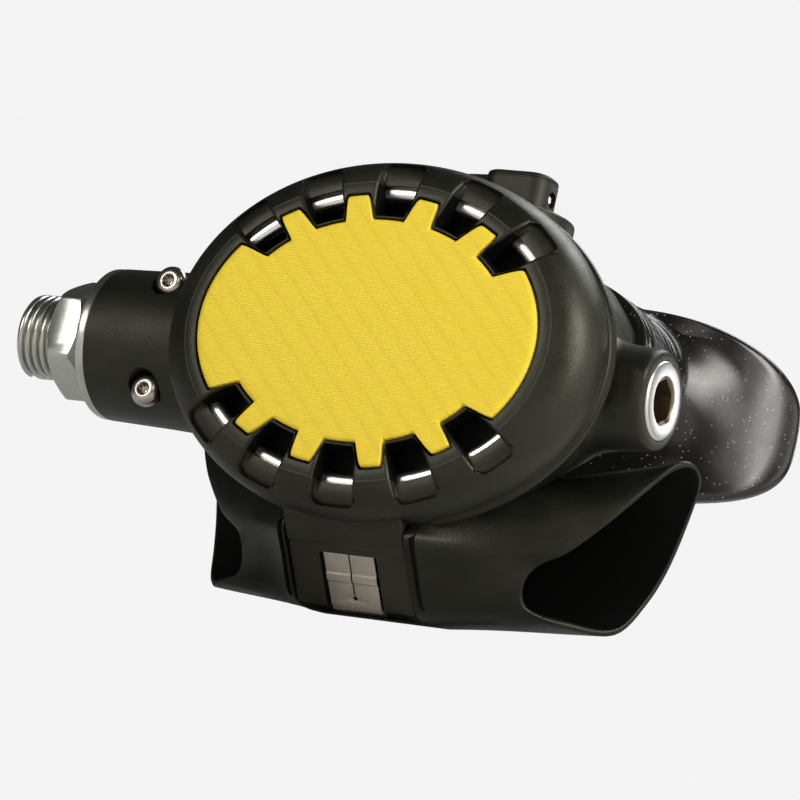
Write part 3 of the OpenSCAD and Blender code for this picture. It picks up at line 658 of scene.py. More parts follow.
def at_x(section, x):
    curve = closed_curve(section)
    return np.column_stack([np.full(len(curve), float(x)), curve])


recessed = [(y + 2.05 * CHIN_IN.x, z + 2.05 * CHIN_IN.y) if y < -5 and z < -24 else (y, z) for y, z in MIDDLE]
half = [at_x(recessed, x) for x in (0, 5, 10.4)] + [at_x(recessed, 10.55), at_x(MIDDLE, 10.7)]
half.append(at_x(MIDDLE, 11.0))
start, end = half[-1], closed_curve(LIP)
for s in np.linspace(0, 1, 19)[1:]:
    swell = s + 0.16 * math.sin(math.pi * s) * (1 - s)
    ring = start * (1 - s) + end * s
    ring[:, 1:] = start[:, 1:] * (1 - swell) + end[:, 1:] * swell
    half.append(ring)
half = np.array(half)
outer = np.concatenate([half[:0:-1] * [-1, 1, 1], half])
print("tee:", outer.shape[0], "rings of", outer.shape[1], "points")

# %% Walls and lips of the tee
along = np.gradient(outer, axis=0)
around = np.roll(outer, -1, 1) - np.roll(outer, 1, 1)
normal = np.cross(along, around)
normal /= np.linalg.norm(normal, axis=2, keepdims=True)
middle = outer.mean(axis=1, keepdims=True)
normal *= np.sign(np.sum(normal * (outer - middle), axis=(1, 2), keepdims=True))
share = np.abs(outer[:, :, :1]) / np.abs(outer[:, :, :1]).max()
thick = 1.6 - 0.6 * share
inner = outer - normal * thick


def lip(row, direction):
    """Half round from the outer wall to the inner one."""
    t = along[row] / np.linalg.norm(along[row], axis=1, keepdims=True) * direction
    centre, reach = outer[row] - normal[row] * thick[row] / 2, thick[row] / 2
    return [centre + normal[row] * reach * math.cos(a) + t * reach * math.sin(a)
            for a in np.radians([25, 60, 90, 120, 155])]


tee_rings = list(outer) + lip(-1, 1) + list(inner[::-1]) + lip(0, -1)[::-1]
tee = loft("tee", tee_rings, closed=True, sharp=50)
across = outer.shape[1]
tee_inside = range((len(outer) + 4) * across, (2 * len(outer) + 4) * across)

# %% [markdown]
# ## Mouthpiece
# One closed loft goes round the bore: along the inside, out over the bite
# flange, back to the sleeve and over its three grooves. The flange's rings
# are blended from the sleeve's oval to a full oval, and each ring is then
# bent, because the flange's ends curl back to follow the teeth.

# %% Mouthpiece
TABS_X, TAB_HALF, TAB_END = 21.0, 6.0, 73.5
FLANGE_Z, FLANGE_A, FLANGE_B = 14.0, 35.0, 16.9


def bite_depth(x):
    return 58 + 15 * np.abs(x / FLANGE_A) ** 3.2


def flange_ring(share, back, inset=0.0):
    """Ring between the neck (share 0) and the flange's edge (share 1)."""
    neck = oval(17.2, 11.2, 0, SPIGOT_Z)
    edge = oval(FLANGE_A - inset, FLANGE_B - inset, 0, FLANGE_Z, 3.0)
    ring = neck * (1 - share) + edge * share
    ring[:, 1] = bite_depth(ring[:, 0]) + back
    return ring


rings = [oval(17.1, 11.1, y, SPIGOT_Z) for y in (41.0, 46, 52.2)]
rings += [oval(14.8, 8.8, 52.4, SPIGOT_Z), oval(14.8, 8.8, 56, SPIGOT_Z), oval(14.9, 8.9, 59.5, SPIGOT_Z)]
rings += [flange_ring(s, 3.2) * [1 - 0.03 * s, 1, 1] for s in (0.05, 0.3, 0.6, 0.85)]
rings += [flange_ring(1, b, i) * [0.975, 1, 1] for b, i in ((3.2, 0.8), (2.95, 0.3), (2.5, 0.05))]
rings += [flange_ring(1, b, i) for b, i in ((0.7, 0.05), (0.25, 0.3), (0, 0.8))]
rings += [flange_ring(s, 0) for s in (0.85, 0.6, 0.35)]
sleeve = [(57.9, 2.9), (57.3, 2.3), (56.2, 1.95), (54.6, 1.9), (54.4, 1.75), (54.15, 1.3), (53.9, 1.3),
          (53.65, 1.75), (53.45, 1.9), (52.6, 1.95), (52.4, 1.8), (52.15, 1.35), (51.9, 1.35), (51.65, 1.8),
          (51.45, 1.95), (50.2, 2.0), (49.9, 1.85), (49.6, 1.2), (47.3, 1.1), (45, 1.2), (44.7, 1.85),
          (44.4, 2.0), (43.1, 2.0), (42.9, 1.8), (42.6, 1.35), (42.35, 1.35), (42.1, 1.8), (41.9, 2.0),
          (41.3, 2.0), (41.05, 1.8), (41, 1.4)]
rings += [oval(17 + t, 11 + t, y, SPIGOT_Z) for y, t in sleeve]
mouthpiece = loft("mouthpiece", rings, closed=True, sharp=60)

# %% Bite tabs, each a rounded tab with a ridge at its end
def rounded_box(name, low, high, radius):
    outline = [(low[0], low[1]), (high[0], low[1]), (high[0], high[1]), (low[0], high[1])]
    return bevelled(prism(name, outline, low[2], high[2], "z"), radius, 4)


tabs = []
for side in (-1, 1):
    x = side * TABS_X + np.linspace(-TAB_HALF, TAB_HALF, 13)
    outline = list(zip(x, bite_depth(x) + 1.4)) + [(x[-1], TAB_END), (x[0], TAB_END)]
    tabs.append(bevelled(prism("tab", outline, FLANGE_Z - 1.5, FLANGE_Z + 1.5, "z"), 0.6))
    tabs.append(rounded_box("ridge", (x[0], 71.5, FLANGE_Z - 4.5), (x[-1], 74, FLANGE_Z + 4.5), 1.1))
mouthpiece = joined("mouthpiece", mouthpiece, *tabs)
mouthpiece.data.set_sharp_from_angle(angle=math.radians(60))
print("mouthpiece:", len(mouthpiece.data.polygons), "faces")


# %% [markdown]
# ## Purge plate and steel ring
# The plate is the toothed outline swept through a rounded edge profile. The
# ring behind it shows through the slots as a bright band, and everything
# further in is black.

# %% Purge plate
def toothed_ring(grow, y, count=720):
    ring = []
    for k in range(count):
        angle = k * 360 / count
        g = grow - notch(angle) * NOTCH_DEEP
        ring.append(oval_point(angle, g, y))
    return ring


PLATE_BACK = PLATE_FRONT + 1.6
edge = [(-2.0, PLATE_FRONT), (-0.9, PLATE_FRONT), (-0.55, PLATE_FRONT + 0.04), (-0.28, PLATE_FRONT + 0.14),
        (-0.08, PLATE_FRONT + 0.34), (0, PLATE_FRONT + 0.6), (0, PLATE_BACK - 0.15),
        (-0.15, PLATE_BACK), (-2.0, PLATE_BACK)]
plate = loft("plate", [toothed_ring(g, y) for g, y in edge], sharp=50)
stem = turned("stem", [(PLATE_BACK - 0.2, 3), (-13.5, 3), (-13.3, 2.8)], "y")
plate = joined("purge_button", plate, stem)

# %% Steel ring behind the plate
bands = [(2.35, -18.35), (2.2, -18.6), (1.8, -18.72), (1.2, -18.7), (0.7, -18.5), (0.35, -18.15),
         (0.2, -17.7), (0.25, -16.9), (0.5, -16.9), (0.6, -17.7), (1.2, -18.3), (2.2, -18.2)]
ring = loft("steel_ring", [oval(PLATE_A + g, PLATE_B + g, y, RISE, 2, 192) for g, y in bands], closed=True)

# %% [markdown]
# ## Turned metal
# The hose inlet, the plug and the screws are all turned about an axis. The
# inlet's hexagon is a prism of its own: only what lies inside a turned shape
# with sloping ends is kept, which chamfers its corners as a lathe would.

# %% Hose inlet
inlet = turned("inlet", [
    (-73, 4.2), (-73, 6.1), (-72.85, 6.35), (-72.5, 6.5), (-66.2, 6.5), (-65.9, 6.2), (-65.5, 6.2),
    (-65.4, 7.6), (-65.35, 8.2), (-59.9, 8.2), (-59.75, 8.3), (-59.5, 8.35), (-59.2, 8.8), (-58.8, 9.8),
    (-58.35, 11.2), (-58.1, 12.0), (-57.95, 12.35), (-57.7, 12.57), (-57.5, 12.6), (-56.6, 12.6),
    (-56.3, 12.5), (-56.2, 12.2), (-56.2, 8.6), (-48, 8.6), (-48, 5.3), (-54, 5.3), (-54, 4.2)],
    columns=144, closed=True)
HEX_HALF, HEX_LOW, HEX_HIGH = 9.0, -65.3, -59.9
reach = HEX_HALF / math.cos(math.pi / 6)
corners = [(reach * math.cos(a), reach * math.sin(a)) for a in np.radians(np.arange(30, 390, 60))]
nut = prism("hexagon", corners, HEX_LOW, HEX_HIGH)
cut(nut, turned("chamfer", [(HEX_LOW, 9.05), (HEX_LOW + 0.8, 10.2), (HEX_HIGH - 0.8, 10.2), (HEX_HIGH, 9.05)],
                columns=144), operation="INTERSECT")
cut(nut, turned("bore", [(-67, 7.8), (-58, 7.8)], columns=144))
nut = seal(bevelled(nut, 0.12, 2), 30)
inlet = joined("inlet", inlet, nut)

# %% Adjusting plug with its hexagon socket
plug = turned("plug", [
    (33.7, 5.2), (33.7, 6.4), (42.7, 6.4), (43.0, 6.33), (43.2, 6.15), (43.3, 5.9), (43.3, 4.05),
    (43.2, 3.95), (42.9, 3.75), (42.85, 3.25, 3.7), (38.1, 3.25, 3.7), (38.0, 3.0)],
    columns=144)
plug_neck = turned("neck", [(29.6, 4.9), (30, 5.2), (33.8, 5.2)])
plug = joined("plug", plug, plug_neck)

# %% [markdown]
# ## Things that repeat or follow a path
# Geometry Nodes suits these best, because the count, the pitch and the wire
# stay open as named inputs. The result is turned into a plain mesh at the end.

# %% A coil, for the springs and for the thread
def new_group(name, kind, inputs, outputs):
    """A node group from {name: (socket type, default)}, its inputs and its outputs."""
    tree = bpy.data.node_groups.new(name, kind)
    for label, (socket, default) in inputs.items():
        made = tree.interface.new_socket(label, in_out="INPUT", socket_type=socket)
        if default is not None:
            made.default_value = default
    for label, socket in outputs.items():
        tree.interface.new_socket(label, in_out="OUTPUT", socket_type=socket)
    return tree, tree.nodes.new("NodeGroupInput").outputs, tree.nodes.new("NodeGroupOutput").inputs


def add(tree, kind, links=(), **settings):
    """A node with its settings; links maps its inputs to values, sockets or nodes,
    and a node stands for its first output."""
    made = tree.nodes.new(kind)
    for key, value in settings.items():
        setattr(made, key, value)
    for key, value in dict(links).items():
        value = value.outputs[0] if isinstance(value, bpy.types.Node) else value
        if isinstance(value, bpy.types.NodeSocket):
            tree.links.new(value, made.inputs[key])
        else:
            made.inputs[key].default_value = value
    return made


def calc(tree, operation, *values):
    """One Math node; each value is a socket or a number."""
    return add(tree, "ShaderNodeMath", dict(enumerate(values)), operation=operation).outputs[0]


def coat(tree, geometry, given, out):
    """Ends a group for geometry: instances made real, with the given material."""
    real = add(tree, "GeometryNodeRealizeInstances", {0: geometry})
    coated = add(tree, "GeometryNodeSetMaterial", {0: real, "Material": given["Material"]})
    tree.links.new(coated.outputs[0], out[0])


FLOAT, INT = "NodeSocketFloat", "NodeSocketInt"
GEOMETRY, MATERIAL, VECTOR = "NodeSocketGeometry", "NodeSocketMaterial", "NodeSocketVector"
coil, given, out = new_group("coil", "GeometryNodeTree", {
    "Turns": (FLOAT, 4.0), "Pitch": (FLOAT, 1.4 * MM), "Radius": (FLOAT, 5 * MM),
    "Wire": (FLOAT, 0.4 * MM), "Wire sides": (INT, 10), "Material": (MATERIAL, None)},
    {"Geometry": GEOMETRY})
height = calc(coil, "MULTIPLY", given["Turns"], given["Pitch"])
spiral = add(coil, "GeometryNodeCurveSpiral", {
    "Resolution": 48, "Rotations": given["Turns"], "Start Radius": given["Radius"],
    "End Radius": given["Radius"], "Height": height})
wire = add(coil, "GeometryNodeCurvePrimitiveCircle", {
    "Resolution": given["Wire sides"], "Radius": given["Wire"]})
swept = add(coil, "GeometryNodeCurveToMesh", {
    "Curve": spiral, "Profile Curve": wire, "Fill Caps": True})
coat(coil, swept, given, out)


def from_nodes(name, tree, values, place=Matrix()):
    """Runs a Geometry Nodes group with these inputs and keeps the plain mesh."""
    obj = new_object(name, bpy.data.meshes.new(name))
    modifier = obj.modifiers.new("nodes", "NODES")
    modifier.node_group = tree
    sockets = {s.name: s.identifier for s in tree.interface.items_tree if s.item_type == "SOCKET"}
    for label, value in values.items():
        modifier[sockets[label]] = value
    apply_modifiers(obj)
    obj.data.transform(place)
    obj.data.shade_smooth()
    obj.data.set_sharp_from_angle(angle=math.radians(50))
    print(f"{name}: {len(obj.data.polygons)} faces")
    return obj


def along_axis(x, y, z, axis):
    """Moves to a place in case millimetres with local Z along an axis."""
    turn_to = Vector((0, 0, 1)).rotation_difference(Vector(axis)).to_matrix().to_4x4()
    return Matrix.Translation(Vector((x * MM + CASE_X, y * MM, z * MM))) @ turn_to


print("coil group:", len(coil.nodes), "nodes")


# %% [markdown]
# ## Shared shader groups
# Real surfaces are never quite even, so each finish gets relief at its real
# scale. The groups below measure in millimetres from the object's own
# coordinates, and put out a normal or a mask. The shader itself stays in each
# material, where its plain values are easy to find.

# %% Groups for relief and wear
def in_mm(tree):
    """Object coordinates in millimetres."""
    place = add(tree, "ShaderNodeTexCoord")
    return add(tree, "ShaderNodeVectorMath", {0: place.outputs["Object"], 1: (1000, 1000, 1000)},
               operation="MULTIPLY").outputs[0]


def relief_out(tree, out, strength, depth, height, second):
    """Ends a relief group: the bumped normal, and the height itself for masks."""
    bump = add(tree, "ShaderNodeBump", {"Strength": strength, "Distance": depth, "Height": height})
    tree.links.new(bump.outputs[0], out["Normal"])
    tree.links.new(height, out[second])


grain, given, out = new_group("moulded grain", "ShaderNodeTree", {
    "Size": (FLOAT, 0.5), "Relief": (FLOAT, 0.3), "Depth": (FLOAT, 0.03)},
    {"Normal": VECTOR, "Height": FLOAT})
noise = add(grain, "ShaderNodeTexNoise", {
    "Vector": in_mm(grain), "Scale": calc(grain, "DIVIDE", 1.0, given["Size"]),
    "Detail": 3.0, "Roughness": 0.6})
relief_out(grain, out, given["Relief"], calc(grain, "MULTIPLY", given["Depth"], MM),
           noise.outputs[0], "Height")

smudge, given, out = new_group("smudges", "ShaderNodeTree", {
    "Size": (FLOAT, 9.0), "Low": (FLOAT, 0.35), "High": (FLOAT, 0.5)}, {"Value": FLOAT, "Mask": FLOAT})
noise = add(smudge, "ShaderNodeTexNoise", {
    "Vector": in_mm(smudge), "Scale": calc(smudge, "DIVIDE", 1.0, given["Size"]),
    "Detail": 5.0, "Roughness": 0.55, "Distortion": 0.4})
spread = add(smudge, "ShaderNodeMapRange", {
    "Value": noise, "From Min": 0.35, "From Max": 0.65, "To Min": given["Low"],
    "To Max": given["High"]})
mask = add(smudge, "ShaderNodeMapRange", {"Value": noise, "From Min": 0.4, "From Max": 0.62})
smudge.links.new(spread.outputs[0], out["Value"])
smudge.links.new(mask.outputs[0], out["Mask"])

lathe, given, out = new_group("turned marks", "ShaderNodeTree", {
    "Pitch": (FLOAT, 0.12), "Relief": (FLOAT, 0.2)}, {"Normal": VECTOR, "Height": FLOAT})
split = add(lathe, "ShaderNodeSeparateXYZ", {0: in_mm(lathe)})
flat = add(lathe, "ShaderNodeCombineXYZ", {"X": split.outputs["Y"], "Y": split.outputs["Z"]})
radius = add(lathe, "ShaderNodeVectorMath", {0: flat}, operation="LENGTH")
both = calc(lathe, "ADD", split.outputs["X"], radius.outputs["Value"])
marks = add(lathe, "ShaderNodeTexNoise", {
    "W": calc(lathe, "DIVIDE", both, given["Pitch"]), "Scale": 1.0, "Detail": 2.0},
    noise_dimensions="1D")
relief_out(lathe, out, given["Relief"], 0.01 * MM, marks.outputs[0], "Height")

# %% [markdown]
# The button's face has a fine woven relief: short level dashes, each row
# shifted against the one above, so that the eye sees diagonal steps. Its mask also paints shade: the yellow
# is darker in the grooves than on the dashes.

# %% Woven relief
weave, given, out = new_group("woven relief", "ShaderNodeTree", {
    "Row": (FLOAT, 0.34), "Dash": (FLOAT, 4.4), "Shift": (FLOAT, 0.078), "Relief": (FLOAT, 0.6)},
    {"Normal": VECTOR, "Mask": FLOAT})
split = add(weave, "ShaderNodeSeparateXYZ", {0: in_mm(weave)})
level = calc(weave, "DIVIDE", split.outputs["Z"], given["Row"])
row = calc(weave, "FLOOR", level)
in_row = calc(weave, "FRACT", level)
phase = calc(weave, "ADD", calc(weave, "DIVIDE", split.outputs["X"], given["Dash"]),
             calc(weave, "MULTIPLY", row, given["Shift"]))
in_dash = calc(weave, "FRACT", phase)
ridge = calc(weave, "SINE", calc(weave, "MULTIPLY", in_row, math.pi))
swell = calc(weave, "POWER", calc(weave, "SINE", calc(weave, "MULTIPLY", in_dash, math.pi)), 0.3)
cloth = calc(weave, "MULTIPLY", calc(weave, "POWER", ridge, 0.7), swell)
relief_out(weave, out, given["Relief"], 0.08 * MM, cloth, "Mask")

# %% Pale specks painted on the rubber as the glints of its sparkle
specks, given, out = new_group("specks", "ShaderNodeTree", {
    "Spacing": (FLOAT, 0.7), "Share": (FLOAT, 0.2), "Speck": (FLOAT, 0.16)}, {"Mask": FLOAT})
cells = add(specks, "ShaderNodeTexVoronoi", {
    "Vector": in_mm(specks), "Scale": calc(specks, "DIVIDE", 1.0, given["Spacing"])})
picked = add(specks, "ShaderNodeSeparateColor", {0: cells.outputs["Color"]})
near = calc(specks, "LESS_THAN", cells.outputs["Distance"], given["Speck"])
some = calc(specks, "LESS_THAN", picked.outputs[0], given["Share"])
specks.links.new(calc(specks, "MULTIPLY", near, some), out["Mask"])
print("shader groups:", [t.name for t in bpy.data.node_groups if t.bl_idname == "ShaderNodeTree"])

# %% Materials
def mixed(tree, mask, low, high):
    """Colour that goes from low to high by a mask."""
    mix = add(tree, "ShaderNodeMix", {0: mask, 6: low, 7: high}, data_type="RGBA")
    return mix.outputs[2]


def material(name, colour, rough, relief, metallic=0.0, tint=None, glints=0.0, **shader):
    """A Principled material. rough is the smudges' span, relief a group with its inputs,
    tint a second colour for the smudges, or for the weave, whose darker base colour in the grooves is painted
    shade, and glints the share of pale specks painted on as sparkle."""
    made = bpy.data.materials.new(name)
    made.use_nodes = True
    tree = made.node_tree
    surface = tree.nodes["Principled BSDF"]
    surface.inputs["Base Color"].default_value = (*colour, 1)
    surface.inputs["Metallic"].default_value = metallic
    for key, value in shader.items():
        surface.inputs[key.replace("_", " ")].default_value = value
    wear = add(tree, "ShaderNodeGroup", {"Low": rough[0], "High": rough[1]}, node_tree=smudge)
    tree.links.new(wear.outputs["Value"], surface.inputs["Roughness"])
    group, values = relief
    bumps = add(tree, "ShaderNodeGroup", values, node_tree=group)
    tree.links.new(bumps.outputs["Normal"], surface.inputs["Normal"])
    if tint:
        # With the weave, this mask paints shade: the darker base colour stays in the grooves and the tint
        # lies on the raised dashes.
        mask = bumps.outputs["Mask"] if group == weave else wear.outputs["Mask"]
        painted = mixed(tree, mask, (*colour, 1), (*tint, 1))
        if glints:
            flecks = add(tree, "ShaderNodeGroup", {"Share": glints}, node_tree=specks)
            painted = mixed(tree, flecks.outputs["Mask"], painted, GLINT_GREY)
        tree.links.new(painted, surface.inputs["Base Color"])
    return made


def grained(size=0.5, relief=0.3, depth=0.03):
    return grain, {"Size": size, "Relief": relief, "Depth": depth}


def lathed(relief):
    return lathe, {"Relief": relief}


# Grey of the pale specks painted on the mouthpiece as its sparkling glints.
GLINT_GREY = (0.30, 0.30, 0.28, 1)
WARM = (1, 1, 0.80, 1)
# Painted shade: a near-black dull material for the walls inside the cover's windows and the inside of the
# tee, so these hollows read as shadow.
SHADE_INSIDE = material("painted shade inside", (0.002, 0.002, 0.0018), (0.7, 0.8), grained(relief=0.4),
                       Specular_IOR_Level=0.08)
# Painted shade and painted reflection: a dark brownish metal for the inside of the plug's hexagon socket,
# standing in for its shade and the brown it reflects.
SOCKET = material("painted shade in socket", (0.20, 0.155, 0.10), (0.35, 0.5), lathed(0.4), 1.0)
LOOKS = {
    "case_plastic": material("case plastic", (0.0055, 0.0055, 0.0042), (0.38, 0.50), grained(0.32, 0.7, 0.06),
                             tint=(0.0095, 0.0095, 0.0072), Specular_IOR_Level=0.42, Specular_Tint=WARM),
    "cover_plastic": material("cover plastic", (0.0065, 0.0065, 0.0050), (0.36, 0.48),
                              grained(0.32, 0.7, 0.06), tint=(0.0115, 0.0115, 0.0088),
                              Specular_IOR_Level=0.42, Specular_Tint=WARM),
    # Painted shade: the darker yellow lies in the weave's grooves, the lighter tint on the dashes.
    "purge_yellow": material("purge yellow", (0.76, 0.54, 0.020), (0.40, 0.48), (weave, {}),
                             tint=(0.92, 0.71, 0.045), Specular_IOR_Level=0.3),
    "chromed_brass": material("chrome plate", (0.52, 0.53, 0.49), (0.24, 0.30), lathed(0.3), 1.0),
    "stainless": material("stainless steel", (0.46, 0.42, 0.37), (0.22, 0.32), grained(0.2, 0.2, 0.02), 1.0),
    "polished_steel": material("polished sheet", (0.82, 0.80, 0.77), (0.24, 0.34),
                               grained(1.2, 0.15, 0.02), 1.0),
    "spring_steel": material("spring wire", (0.58, 0.58, 0.59), (0.2, 0.3), grained(0.3, 0.2, 0.01), 1.0),
    "plug_metal": material("satin plug", (0.60, 0.60, 0.59), (0.30, 0.38), lathed(0.6), 1.0),
    "orifice_brass": material("brass", (0.72, 0.52, 0.22), (0.2, 0.3), lathed(0.3), 1.0),
    "inner_plastic": material("inner plastic", (0.05, 0.05, 0.052), (0.4, 0.5), grained(0.4)),
    "tee_rubber": material("tee rubber", (0.0045, 0.0046, 0.0035), (0.36, 0.48), grained(0.42, 0.7, 0.06),
                           tint=(0.0075, 0.0077, 0.0058), Specular_IOR_Level=0.28, Specular_Tint=WARM),
    # Painted glints: pale specks scattered over the silicone for its sparkle.
    "mouth_silicone": material("mouthpiece silicone", (0.007, 0.0069, 0.0062), (0.20, 0.28),
                               grained(0.3, 0.35, 0.03), tint=(0.010, 0.0098, 0.0088), glints=0.4,
                               Specular_IOR_Level=0.45),
    "seal_rubber": material("seal rubber", (0.012, 0.012, 0.012), (0.4, 0.5), grained(0.4)),
}
record_slots = {p["node"]: p["material_slot"] for p in frame["record"]["subparts"]}
print(len(LOOKS), "materials")


def dress(obj, name, body, *nodes):
    """Names and paints a piece, and lets it stand for its CAD nodes."""
    look = record_slots[nodes[0]]
    obj.name = obj.data.name = name
    obj.data.materials.clear()
    obj.data.materials.append(LOOKS[look])
    for face in obj.data.polygons:
        face.material_index = 0
    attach(obj, body)
    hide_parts(*nodes)


def add_painted_shade(obj, shade, faces):
    """Another material on some faces, given by their numbers: here always one that paints shade."""
    obj.data.materials.append(shade)
    for number in faces:
        obj.data.polygons[number].material_index = 1


dress(cover, "cover_ring", "regulator", "front_cover")
# Painted shade on the walls inside the cover's windows.
add_painted_shade(cover, SHADE_INSIDE, cover_inside)
dress(tongue, "cover_tongue", "regulator", "front_cover")
dress(body, "case_body", "regulator", "case")
dress(rim, "case_rim", "regulator", "case")
dress(tee, "exhaust_tee_duct", "regulator", "exhaust_tee")
# Painted shade on the inside of the tee.
add_painted_shade(tee, SHADE_INSIDE, tee_inside)
dress(mouthpiece, "mouthpiece_bite", "regulator", "mouthpiece")
dress(plate, "purge_button_plate", "purge_button", "purge_plate")
dress(ring, "deflector_band", "regulator", "deflector_ring")
dress(inlet, "inlet_body", "regulator", "inlet_connector")
dress(plug, "adjusting_knob", "adjuster", "adjusting_plug")
SOCKET_FROM, SOCKET_R = CASE_X + 36 * MM, 3.9 * MM
socket_faces = [f.index for f in plug.data.polygons
                if f.center.x > SOCKET_FROM and math.hypot(f.center.y, f.center.z) < SOCKET_R]
# Painted shade inside the plug's hexagon socket.
add_painted_shade(plug, SOCKET, socket_faces)
# Counts the faces that carry painted shade.
print("faces with painted shade:", len(cover_inside) + len(tee_inside) + len(socket_faces))

# %% Coils: the thread and both springs
LOOK = {n: LOOKS[s] for n, s in record_slots.items()}
thread = from_nodes("thread", coil, {
    "Turns": 4.3, "Pitch": 1.411 * MM, "Radius": 6.53 * MM, "Wire": 0.6 * MM, "Wire sides": 8,
    "Material": LOOK["inlet_connector"]},
                    along_axis(-72.35, 0, 0, (1, 0, 0)))
dress(thread, "inlet_thread", "regulator", "inlet_connector")


def spring(node, turns, wire, radius, length, start, axis):
    """A coil whose ends lie within the length of its CAD node."""
    return from_nodes("spring", coil, {
        "Turns": turns, "Pitch": (length - 2 * wire) / turns * MM, "Radius": radius * MM, "Wire": wire * MM,
        "Wire sides": 12, "Material": LOOK[node]}, along_axis(*start, axis))


PURGE_WIRE, POPPET_WIRE = 0.4, 0.35
low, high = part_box("purge_spring")
span = (high.y - low.y) / MM
purge = spring("purge_spring", 3.5, PURGE_WIRE, 5.5, span, (0, low.y / MM + PURGE_WIRE, 0), (0, 1, 0))
dress(purge, "purge_return_spring", "regulator", "purge_spring")
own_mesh(purge)
low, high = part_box("poppet_spring")
span, outside = (high.x - low.x) / MM, (high.z - low.z) / 2 / MM
closing = spring("poppet_spring", 7.0, POPPET_WIRE, outside - POPPET_WIRE, span,
                 ((low.x - CASE_X) / MM + POPPET_WIRE, 0, 0), (1, 0, 0))
dress(closing, "poppet_closing_spring", "regulator", "poppet_spring")
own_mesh(closing)

# %% [markdown]
# ## Screws
# The two socket screws are one turned mesh, set on two points by instancing.

# %% Screws
screw = turned("screw", [(5, 0.9), (4.7, 1.2), (-7.5, 1.2), (-7.6, 2.45), (-7.75, 2.65), (-8.6, 2.7),
                         (-9.1, 2.55), (-9.5, 2.2), (-9.72, 1.75), (-9.8, 1.3), (-9.78, 1.1), (-9.65, 0.98),
                         (-9.5, 0.88, 1.0), (-8.1, 0.88, 1.0), (-8.0, 0.8)], "y", (-CASE_X / MM, 0, 0), 72)
pair, given, out = new_group("pair of screws", "GeometryNodeTree", {
    "Screw": ("NodeSocketObject", None), "Place": (VECTOR, (0, 0, 0)), "Spacing": (FLOAT, 18.6 * MM),
    "Material": (MATERIAL, None)}, {"Geometry": GEOMETRY})
lowered = calc(pair, "MULTIPLY", given["Spacing"], -0.5)
shift = add(pair, "ShaderNodeCombineXYZ", {"Z": lowered})
first = add(pair, "ShaderNodeVectorMath", {0: given["Place"], 1: shift}, operation="ADD")
step = add(pair, "ShaderNodeCombineXYZ", {"Z": given["Spacing"]})
line = add(pair, "GeometryNodeMeshLine", {
    "Count": 2, "Start Location": first, "Offset": step})
shape = add(pair, "GeometryNodeObjectInfo", {"Object": given["Screw"]})
set_on = add(pair, "GeometryNodeInstanceOnPoints", {
    "Points": line, "Instance": shape.outputs["Geometry"]})
coat(pair, set_on, given, out)
screws = from_nodes("screws", pair, {
    "Screw": screw, "Place": (SCREW_X * MM + CASE_X, 0, 0), "Spacing": 2 * SCREW_Z * MM,
    "Material": LOOK["barrel_screws"]})
bpy.data.objects.remove(screw)
dress(screws, "socket_screws", "regulator", "barrel_screws")

# %% [markdown]
# ## Tie round the mouthpiece
# The tie is a flat strap in the sleeve's wide groove. Geometry Nodes bends an
# oval path, gives it the strap's section and sets fine ribs across it.

# %% Mouthpiece tie
strap, given, out = new_group("ribbed strap", "GeometryNodeTree", {
    "Half width": (FLOAT, 18.6 * MM), "Half height": (FLOAT, 12.6 * MM), "Strap": (FLOAT, 4.3 * MM),
    "Thick": (FLOAT, 0.9 * MM), "Ribs": (INT, 64), "Material": (MATERIAL, None)}, {"Geometry": GEOMETRY})
path = add(strap, "GeometryNodeCurvePrimitiveCircle", {"Resolution": 192, "Radius": 1.0})
ratio = add(strap, "ShaderNodeCombineXYZ", {
    "X": given["Half width"], "Y": given["Half height"], "Z": 1.0})
oval_path = add(strap, "GeometryNodeTransform", {"Geometry": path, "Scale": ratio})
section = add(strap, "GeometryNodeCurvePrimitiveQuadrilateral", {
    "Width": given["Thick"], "Height": given["Strap"]})
corner = calc(strap, "MULTIPLY", given["Thick"], 0.35)
soft = add(strap, "GeometryNodeFilletCurve", {"Curve": section, "Count": 4, "Radius": corner},
           mode="POLY")
band = add(strap, "GeometryNodeCurveToMesh", {"Curve": oval_path, "Profile Curve": soft})
points = add(strap, "GeometryNodeCurveToPoints", {
    "Curve": oval_path, "Count": given["Ribs"]}, mode="COUNT")
rib_size = add(strap, "ShaderNodeCombineXYZ", {
    "X": calc(strap, "MULTIPLY", given["Thick"], 1.25),
    "Y": calc(strap, "MULTIPLY", given["Strap"], 0.72), "Z": 0.5 * MM})
rib = add(strap, "GeometryNodeMeshCube", {"Size": rib_size})
ribs = add(strap, "GeometryNodeInstanceOnPoints", {
    "Points": points, "Instance": rib, "Rotation": points.outputs["Rotation"]})
together = add(strap, "GeometryNodeJoinGeometry")
strap.links.new(band.outputs[0], together.inputs[0])
strap.links.new(ribs.outputs[0], together.inputs[0])
coat(strap, together, given, out)
tie = from_nodes("tie", strap, {"Half width": 18.55 * MM, "Half height": 12.55 * MM, "Ribs": 64,
                                "Material": LOOK["mouthpiece_tie"]},
                 Matrix.Translation((CASE_X, 47.3 * MM, SPIGOT_Z * MM))
                 @ Matrix.Rotation(math.pi / 2, 4, "X"))
head = rounded_box("head", (-3, 45.2, SPIGOT_Z - 14.6), (3, 49.4, SPIGOT_Z - 12.4), 0.5)
tie = joined("tie", tie, head)
dress(tie, "sleeve_tie", "regulator", "mouthpiece_tie")

# %% [markdown]
# ## Venturi lever
# A round base carries a tall rounded block. The block is lofted upwards, with
# a fine step line near its top, and a cross hole takes the steel pin. An arm
# for the finger is lofted sideways, and it gets slimmer towards its tip.

